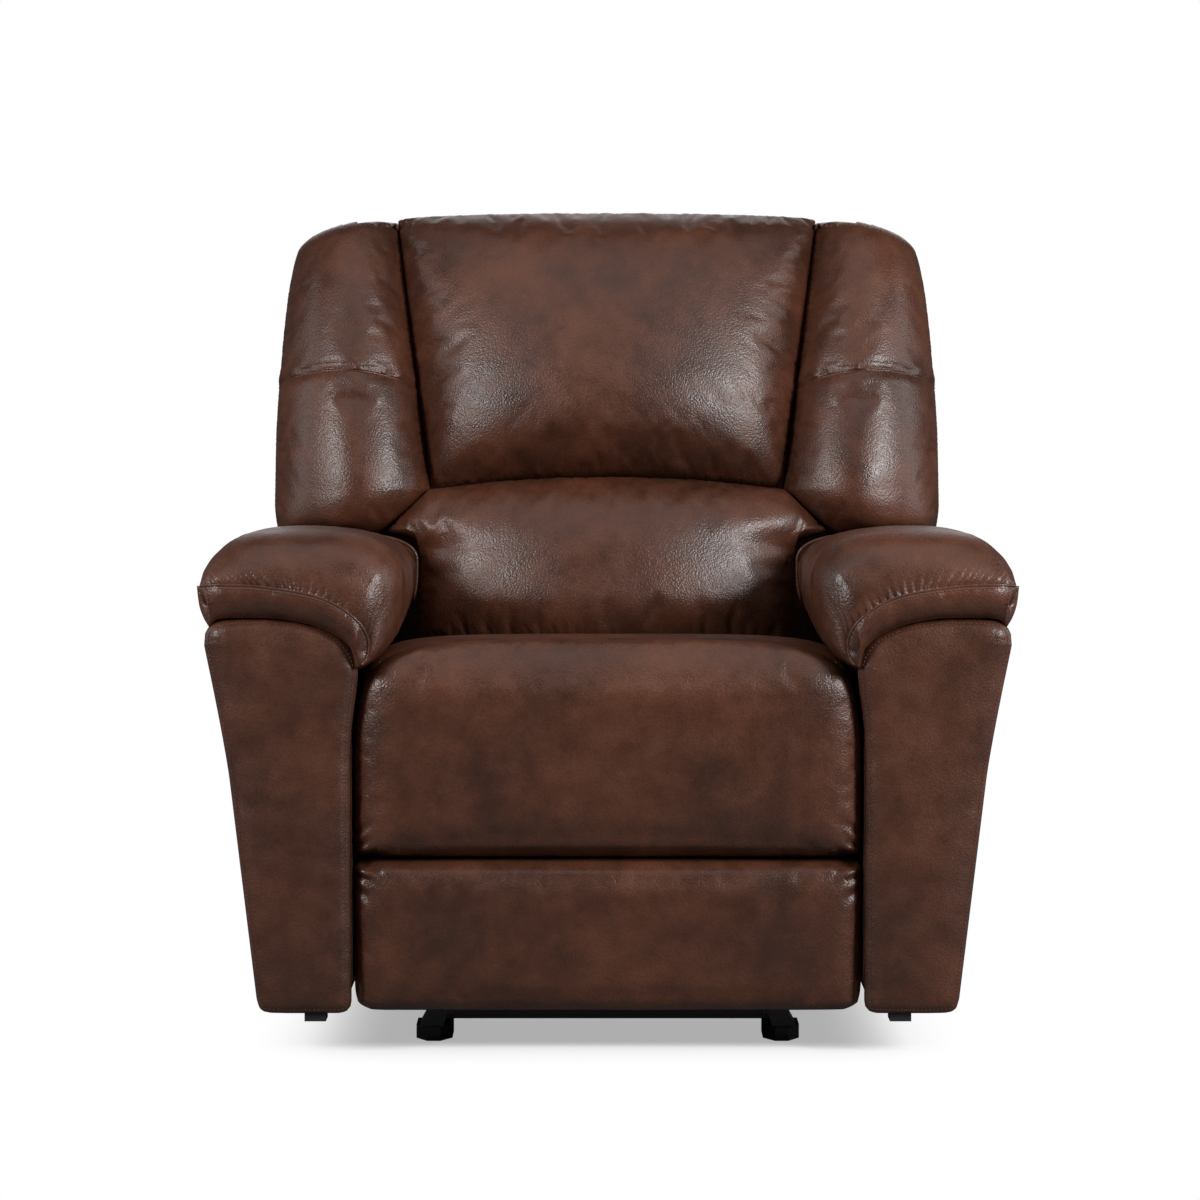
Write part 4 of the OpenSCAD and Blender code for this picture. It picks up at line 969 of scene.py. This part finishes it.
# the cushion stays under the back and between the arms
co = array([v.co for v in seat.data.vertices])
co[:, 2] = minimum(co[:, 2], 0.4995)
co[:, 0] = clip(co[:, 0], -0.3085, 0.3085)
seat.data.vertices.foreach_set("co", co.ravel())
done(seat, "seat", "seat_cushion", soft=0.85)


# ---- arms
ARM_IN, FOOT_OUT, TOP_OUT = 311.0, 420.0, 481.0  # inner face, outer face at the foot and at the top
FLOOR_GAP, BODY_Z, ROLL = 57.0, 530.0, 36.0  # foot, top, and how far the top rolls down inwards
FRONT_Y, DEPTH = -479.0, 84.0  # front of the arm pads, and where they take their section
PAD_X = 372.5  # middle of the arm pads
PAD_MID, PAD_FOOT = 566.0, 531.5  # widest part and outer foot of their section


def arm_out(z):
    """Outer face of the arm's wooden body."""
    return FOOT_OUT + (TOP_OUT - FOOT_OUT) * (z - FLOOR_GAP) / (BODY_Z - FLOOR_GAP)


def arm_top(x):
    """Top of the arm's wooden body, rolled down towards the seat."""
    return BODY_Z - ROLL * maximum(0, 1 - (x - ARM_IN) / (TOP_OUT - ARM_IN)) ** 4


# points of a section: outer foot, over the top, down the inner lip, back underneath
N_OUT, N_TOP, N_IN, N_UNDER = 20, 190, 34, 60
LIP = [(0, 566), (0.2, 548), (2.4, 530), (7.2, 513), (15.5, 498), (26.5, 485), (39, 474.5), (51, 467.8),
       (59, 466)]


def along(pts, n):
    """n even points on a smooth line through pts."""
    p = array(pts, float)
    s = np.concatenate([[0], np.cumsum(norm(np.diff(p, axis=0), axis=1))])
    at = linspace(0, s[-1], n)
    return cols(curve(s, p[:, 0], at), curve(s, p[:, 1], at))


def pad_section(y):
    """Section across the right arm pad."""
    u = (y + 480) / 752.0
    drop = 34 * curve([0, 0.16, 0.34, 0.55, 0.75, 0.9, 1], [0, 0.03, 0.16, 0.42, 0.72, 0.92, 1], u)
    g = curve([0, 0.86, 0.93, 0.97, 0.99, 1], [1, 0.97, 0.93, 0.86, 0.76, 0.6], u)
    # the inner side draws in a little towards the rear
    taper = 5.0 * curve([0, 0.3, 0.8, 1], [0, 0.1, 1, 1], u)
    xm, half = PAD_X + taper, 122.5 * (0.35 + 0.65 * g) - taper
    up = 69 * g - drop
    t = arange(N_OUT) / N_OUT
    foot_x = 0.885 + 0.115 * np.sin(t * np.pi / 2)
    rows = [cols(xm + half * foot_x, PAD_FOOT + (PAD_MID - PAD_FOOT) * t)]
    cx, cz = squircle(np.pi * arange(N_TOP) / (N_TOP - 1), 2.65)
    rows.append(cols(xm + half * cx, PAD_MID + up * cz))
    lip = along(LIP, N_IN + 1)[1:]
    rows.append(cols(xm - half + lip[:, 0] * (309 - xm + half) / 59, PAD_MID - (PAD_MID - lip[:, 1]) * g))
    x0, z0 = rows[-1][-1]
    # underneath: up the arm's inner face, then over its top
    under = [(x0, z0), (310.2, z0 + 4), (310.6, 480), (311.2, 494)]
    under += [(x, float(arm_top(x)) + 0.9) for x in (330, 360, 400, 440)] + [(xm + half * 0.885, PAD_FOOT)]
    rows.append(along(under, N_UNDER + 1)[1:-1])
    r = vstack(rows)
    return cols(r[:, 0], full(len(r), y), r[:, 1])


# outline of the pad's flat front band, seen from the front: its upper edge is the seam
end_edge = along([(481.5, 522), (488, 533), (493.5, 550), (496, 572)], N_OUT + 1)[:-1]
top_edge = along([(496, 572), (474, 574.5), (434, 573.5), (394, 569), (354, 561.5), (324, 548.5),
                  (305, 534.5), (293.5, 520), (288.5, 503), (289, 495)], N_TOP)
in_edge = along([(289, 495), (291, 486), (296, 479), (300.5, 477)], N_IN + 1)[1:]
low_edge = along([(300.5, 477), (306, 494.5), (324, 511), (344, 521.5), (374, 530), (414, 534.7),
                  (454, 534.7), (473, 531), (481.5, 522)], N_UNDER + 1)[1:-1]
F = vstack([end_edge, top_edge, in_edge, low_edge])
n = len(F)
seam_len = np.concatenate([[0], np.cumsum(norm(np.diff(F, axis=0), axis=1))])


def fold(s):
    """Gathers along the seam, one about every 9.5 mm."""
    return (np.sin(s * 0.66 + 2.4 * noise1(s / 26, 51)) * (0.85 + 0.3 * noise1(s / 17, 52))
            + 0.4 * noise1(s / 4.2, 57))


# the band shrinks to its middle line
cx = F[:, 0]
top_z = interp(cx, top_edge[::-1, 0], top_edge[::-1, 1])
low_z = interp(cx, low_edge[:, 0], low_edge[:, 1])
mid_z = 0.5 * (top_z + low_z)
mid_x = clip(cx, 303, 482)
# the face turns back at both ends
FACE_0 = FRONT_Y + 18 * clip((cx - 462) / 34, 0, 1) ** 2 + 9 * clip((308 - cx) / 20, 0, 1) ** 2


def turned(z):
    """The face leans back towards its foot."""
    down = clip((top_z - z) / (top_z - low_z + 0.01), 0, 1)
    return FACE_0 + 12 * down ** 2 * clip((cx - 296) / 30, 0, 1)


FACE_Y = turned(F[:, 1])


def band_ring(k):
    """The band's outline at share k of its size; the band stands proud of the seam."""
    w = (cx - 288) / 210
    proud = 8.0 * math.sqrt(max(0, 1 - k * k)) * (0.75 + 0.25 * np.sin(np.pi * w))
    wave = 0.9 * noise1(seam_len / 9.0, 53) * k * (1 - k) * 4
    # little folds at the inner end of the band
    tuck = 2.4 * exp(-((cx - 300) / 16) ** 2) * noise1(F[:, 1] / 5.5, 54) * (1 - k)
    z = mid_z + (F[:, 1] - mid_z) * k
    return cols(mid_x + (cx - mid_x) * k, turned(z) + 1.0 - proud + wave + tuck, z)


band = [band_ring(k) for k in (0.03, 0.22, 0.42, 0.6, 0.74, 0.85, 0.93, 0.975)]
# behind the seam the pad swells to its full section, then runs to the rear
S = pad_section(FRONT_Y + DEPTH)
rings = []
for th in np.radians([0, 1.2, 2.6, 4.2, 6, 8, 10.5, 13.5, 17, 21, 25.5, 31, 37, 44, 52, 61, 71, 81, 90]):
    g = math.sin(th)
    rings.append(cols(F[:, 0] + (S[:, 0] - F[:, 0]) * g,
                      FACE_Y + (FRONT_Y + DEPTH - FACE_Y) * (1 - math.cos(th)),
                      F[:, 1] + (S[:, 2] - F[:, 1]) * g ** 0.9))
for y in list(linspace(-388, 236, 84)) + [244, 251, 257, 262, 266, 269, 271.5]:
    rings.append(pad_section(y))
v_rings = band + rings
m = len(v_rings)
tail_c = v_rings[-1].mean(0)
for k in (0.8, 0.5, 0.2):
    v_rings.append(tail_c + (v_rings[m - 1] - tail_c) * k)
verts = vstack(v_rings)
faces = quads(n, len(v_rings))
faces += [tuple(range(n)), tuple(range(len(verts) - n, len(verts)))[::-1]]
# gathers above the front seam: fine folds that run back from it and fade
FAR = 999  # stands for the distance of points that get no folds
nb = len(band)
dist = zeros((len(v_rings), n))
for j in range(nb + 1, m):
    dist[j] = dist[j - 1] + norm(v_rings[j] - v_rings[j - 1], axis=1)
dist[m:] = dist[:nb] = FAR
dist = dist.ravel()
arc = np.tile(seam_len, len(v_rings))
no = np.tile(arange(n), len(v_rings))
top_w = clip((no - N_OUT + 1) / 4, 0, 1) * clip((N_OUT + N_TOP + N_IN - 4 - no) / 14, 0, 1)
reach = 5.4 + 2.4 * noise1(arc / 9.0, 55)
env = exp(-maximum(dist - 3, 0) / reach) * clip(dist / 1.8, 0, 1) * top_w
ridge = fold(arc + 0.05 * dist) * 2.6
# a shallow hollow behind the seam makes the top rise like a stuffed roll
sink = 1.0 * exp(-((dist - 3) / 3.0) ** 2) * top_w
dirv = verts - array([PAD_X, 0, 535.0])
dirv[:, 1] = -22.0
dirv /= norm(dirv, axis=1)[:, None]
soft = 1.2 * noise1(arc / 30 + verts[:, 1] / 55, 56) * clip((dist - 20) / 60, 0, 1)
soft = where(dist < FAR, soft, 0) * top_w
verts = verts + dirv * (env * ridge - sink + soft)[:, None]
arm_pad = orient(add_mesh("arm_padding_right", verts, faces, "cushion"))
pin = where((dist < FAR) & (top_w > 0), 1 - clip((dist - 26) / 30, 0, 1) * top_w, 1.0)
puff(arm_pad, pin, pressure=2.5, cap=5.0, shrink=-0.012, frames=14)
pair(arm_pad, "chassis", "arm_pad_right", 0.8)


def both(o):
    """A small piece of the right arm and its mirror image."""
    done(mirrored(o), "chassis")
    done(o, "chassis")


# welt along the front seam, the topstitch below it and the stitched seam at the band's outer end
sel = slice(N_OUT + 4, N_OUT + N_TOP + N_IN - 6)
seam_path = cols(F[sel, 0], FACE_Y[sel] - 1.0, F[sel, 1] - 0.6)
both(tube("arm_pad_welt_right", seam_path, 1.7, "cushion"))
COARSE = dict(length=3.6, gap=1.6)
near_top = band_ring(0.80)[N_OUT + 3:N_OUT + N_TOP - 26]
both(stitches("arm_pad_topstitch_right", near_top + [0, -0.5, 0], [0, -1.0, 0.15], **COARSE))
end_seam = array([(479.0 + (z - 531) * 0.12, FRONT_Y + 0.2, z) for z in linspace(530, 569, 14)])
both(stitches("arm_pad_end_stitch_right", end_seam, [0.4, -1.0, 0], **COARSE))
# piping at the rear of the pad, where it goes under the back
PIPE_Y = 142.0
pipe = pad_section(PIPE_Y)[N_OUT + 8:N_OUT + N_TOP + 14]
pipe = pipe + (pipe - [PAD_X, PIPE_Y, 520.0]) * 0.022
both(tube("arm_pad_piping_right", pipe[::3], 2.3, "cushion"))


# side panels of the arms, with stitches 7 mm within their edge
SIDE_SEAM = 7.0


def side_height(p, d, arc):
    y, z = p.T
    h = -1.2 + 4.2 * bulge(d, 70, 2.0) - 1.0 * exp(-((d - SIDE_SEAM) / 1.4) ** 2)
    return (h + 0.7 * noise1(y / 80 + z / 130, 81) * bulge(d, 40)
            + 0.5 * noise1(arc / 15, 82) * exp(-d / 12))


def side_place(p, h):
    return cols(arm_out(p[:, 1]) + h, p[:, 0], p[:, 1])


side_line = rounded([(-460, 57), (284.5, 57), (284.5, 529), (-460, 529)], 9)
side = pad("arm_side_upholstery_right", side_line, side_height, side_place, "panel",
           step=5.0, grid=12.0, wall=[(0.3, -4.0), (0.3, -9.0)])[0]
side_l = mirrored(side)
# a pocket for the control panel in the left one
box = add_mesh("pocket_cut", [(x, y, z) for x in (-520, -430) for y in (-270, -202) for z in (423, 457)],
               [(0, 1, 3, 2), (4, 6, 7, 5), (0, 4, 5, 1), (2, 3, 7, 6), (0, 2, 6, 4), (1, 5, 7, 3)], "panel")
mod = side_l.modifiers.new("pocket", "BOOLEAN")
mod.operation, mod.object, mod.solver = "DIFFERENCE", box, "EXACT"
side_l.data = bpy.data.meshes.new_from_object(side_l.evaluated_get(bpy.context.evaluated_depsgraph_get()))
side_l.modifiers.clear()
bpy.data.objects.remove(box)
done(side, "chassis", "arm_side_panel_right")
done(side_l, "chassis", "arm_side_panel_left")
line = clip(resample(side_line, 3.0), [-453, 64], [277.5, 522])
path = side_place(line, side_height(line, full(len(line), SIDE_SEAM), zeros(len(line))) + 0.2)
both(stitches("arm_side_stitching_right", vstack([path, path[:1]]), [1.0, 0, -0.13]))


# leather over the rear of the arms
def rear_height(p, d, arc):
    return 0.6 + 2.4 * bulge(d, 22, 2.0) + 0.5 * noise1(p[:, 1] / 60, 91)


rear_line = rounded([(319.5, 59), (418, 59), (478, 527), (452, 528.5), (414, 527.5), (374, 524), (344, 515.5),
                     (319.5, 501)], 4)
both(pad("arm_rear_upholstery_right", rear_line, rear_height, upright(285.4, 1), "panel",
         step=6.0, grid=14.0, wall=[(0.3, 0.2)])[0])


# front panels of the arms: the edge under the pad and down the inner side
EDGE = [(488.0, 500), (486.8, 514), (483, 521.5), (476.6, 527.3), (466, 530.8), (448, 532.5), (414, 533.4),
        (374, 529.3), (344, 520.8), (324, 510), (313, 500), (306, 489), (301.8, 477), (302, 462),
        (304.5, 440), (307.5, 420), (310, 396), (311.3, 372)]
FRONT_SEAM = 5.4


def front_out(z):
    """Outer edge of the front panel: beside the arm's body, and flared under the pad."""
    flare = 9.6 * min(max((z - 340) / 146, 0), 1) ** 1.35
    return arm_out(z) + 6.0 * (1 - (z - FLOOR_GAP) / (BODY_Z - FLOOR_GAP)) - 0.2 + flare


def front_outline():
    inner = [(311.6, z) for z in linspace(350, FLOOR_GAP + 10, 26)]
    foot = [(313, 59), (318, 53.5), (326, 51.4), (345, 51.2), (390, 51.2), (410, 51.6), (419, 53.5),
            (424, 58)]
    return array(EDGE + inner + foot + rising(front_out, FLOOR_GAP + 12, 486, 36))


def panel_height(p, d, arc):
    h = 8.0 * bulge(d, 13, 2.0) + 11.0 * bulge(d, 62, 2.0) - 5.5
    h -= 1.3 * exp(-((d - FRONT_SEAM) / 1.2) ** 2)
    h += 0.6 * noise1(arc / 12, 61) * exp(-d / 14) * clip(d / 3, 0, 1)
    x, z = p.T
    corner = exp(-(((x - 318) / 26) ** 2 + ((z - 478) / 34) ** 2))
    corner += exp(-(((x - 462) / 26) ** 2 + ((z - 508) / 24) ** 2))
    return h + 3.8 * corner + 0.9 * noise1(x / 60 + z / 90, 62) * bulge(d, 50)


arm_front_place = upright(-461.0, -1)
front = pad("arm_front_upholstery_right", front_outline(), panel_height, arm_front_place, "panel",
            step=3.5, wall=[(0.2, -2.0), (0.2, -5.8)])[0]
edge = resample(front_outline(), 3.0)
run = np.roll(edge, -1, 0) - np.roll(edge, 1, 0)
away = cols(run[:, 1], -run[:, 0])
away /= norm(away, axis=1)[:, None]
line = edge - away * FRONT_SEAM * turn(edge)
path = arm_front_place(line, panel_height(line, full(len(line), FRONT_SEAM), zeros(len(line))))
both(stitches("arm_front_stitching_right", vstack([path, path[:1]]), [0, -1.0, 0], r=0.6, lift=0.4))
pair(front, "chassis", "arm_front_panel_right")


# ---- floor, lights, world
def make_floor():
    """Pale floor: takes the shadow under the chair, and is the plain background further out."""
    m = Nodes("floor")
    xyz = m.new("SeparateXYZ", {0: m.obj})
    past = {}
    # how far a point lies outside the rectangle under the chair
    for i, half in enumerate((0.27, 0.36)):
        over = m.math("SUBTRACT", m.math("ABSOLUTE", xyz.outputs[i]), half)
        past[i] = m.math("MAXIMUM", over, 0.0)
    ln = m.new("VectorMath", {0: m.out0("CombineXYZ", past)}, operation="LENGTH").outputs["Value"]
    far = m.out0("MapRange", {"Value": ln, "From Min": 0.0, "From Max": 0.18, "To Min": 0.42, "To Max": 1.0},
                 interpolation_type="SMOOTHSTEP")
    seen = m.new("LightPath").outputs["Is Camera Ray"]
    fac = m.math("MULTIPLY", far, seen)
    near = m.out0("BsdfDiffuse", {"Color": (0.88, 0.88, 0.88, 1)})
    dim = m.out0("BsdfDiffuse", {"Color": (0.20, 0.20, 0.20, 1)})
    d = m.out0("MixShader", {0: seen, 1: dim, 2: near})
    e = m.out0("Emission", {"Color": (1, 1, 1, 1), "Strength": 1.0})
    mat = m.end(m.out0("MixShader", {0: fac, 1: d, 2: e}))
    me = bpy.data.meshes.new("floor")
    me.from_pydata([(-9, -9, 0), (9, -9, 0), (9, 9, 0), (-9, 9, 0)], [], [(0, 1, 2, 3)])
    me.materials.append(mat)
    o = linked("floor", me)
    o.location.z = -0.0002
    o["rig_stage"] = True


make_floor()


def softbox(name, at, look_z, size, power):
    """Rectangular lamp that looks at height look_z on the chair's middle line."""
    l = bpy.data.lights.new(name, "AREA")
    l.shape = "RECTANGLE"
    l.size, l.size_y = size
    l.energy = power
    o = linked(name, l)
    o.location = at
    o.rotation_euler = (Vector((0, 0, look_z)) - Vector(at)).to_track_quat("-Z", "Y").to_euler()


softbox("light_left", (-2.3, -2.0, 1.8), 0.7, (0.55, 1.0), 54)
softbox("light_right", (2.3, -2.0, 1.8), 0.7, (0.55, 1.0), 88)
softbox("rim_left", (-2.1, 0.1, 1.15), 0.6, (0.5, 1.7), 7)
softbox("rim_right", (2.1, 0.1, 1.15), 0.6, (0.5, 1.7), 11)
softbox("light_top", (0, -0.9, 3.0), 0.4, (3.2, 2.4), 19)
softbox("light_back", (0, 2.6, 1.8), 0.6, (2.4, 1.2), 12)

# world: white for the camera, dim for the light it gives
FILL, BACKDROP = 0.07, 1.0
world = bpy.data.worlds.new("world")
scene.world = world
world.use_nodes = True
wt = world.node_tree
wt.nodes.clear()
mx = wt.nodes.new("ShaderNodeMixShader")
wt.links.new(wt.nodes.new("ShaderNodeLightPath").outputs["Is Camera Ray"], mx.inputs[0])
for i, strength in enumerate((FILL, BACKDROP)):
    bg = wt.nodes.new("ShaderNodeBackground")
    bg.inputs[0].default_value = (1, 1, 1, 1)
    bg.inputs[1].default_value = strength
    wt.links.new(bg.outputs[0], mx.inputs[i + 1])
wt.links.new(mx.outputs[0], wt.nodes.new("ShaderNodeOutputWorld").inputs[0])

scene.view_settings.view_transform = "Standard"

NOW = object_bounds()
{"cad": [list(map(float, c)) for c in CAD_BOX], "visual": [list(map(float, c)) for c in NOW]}
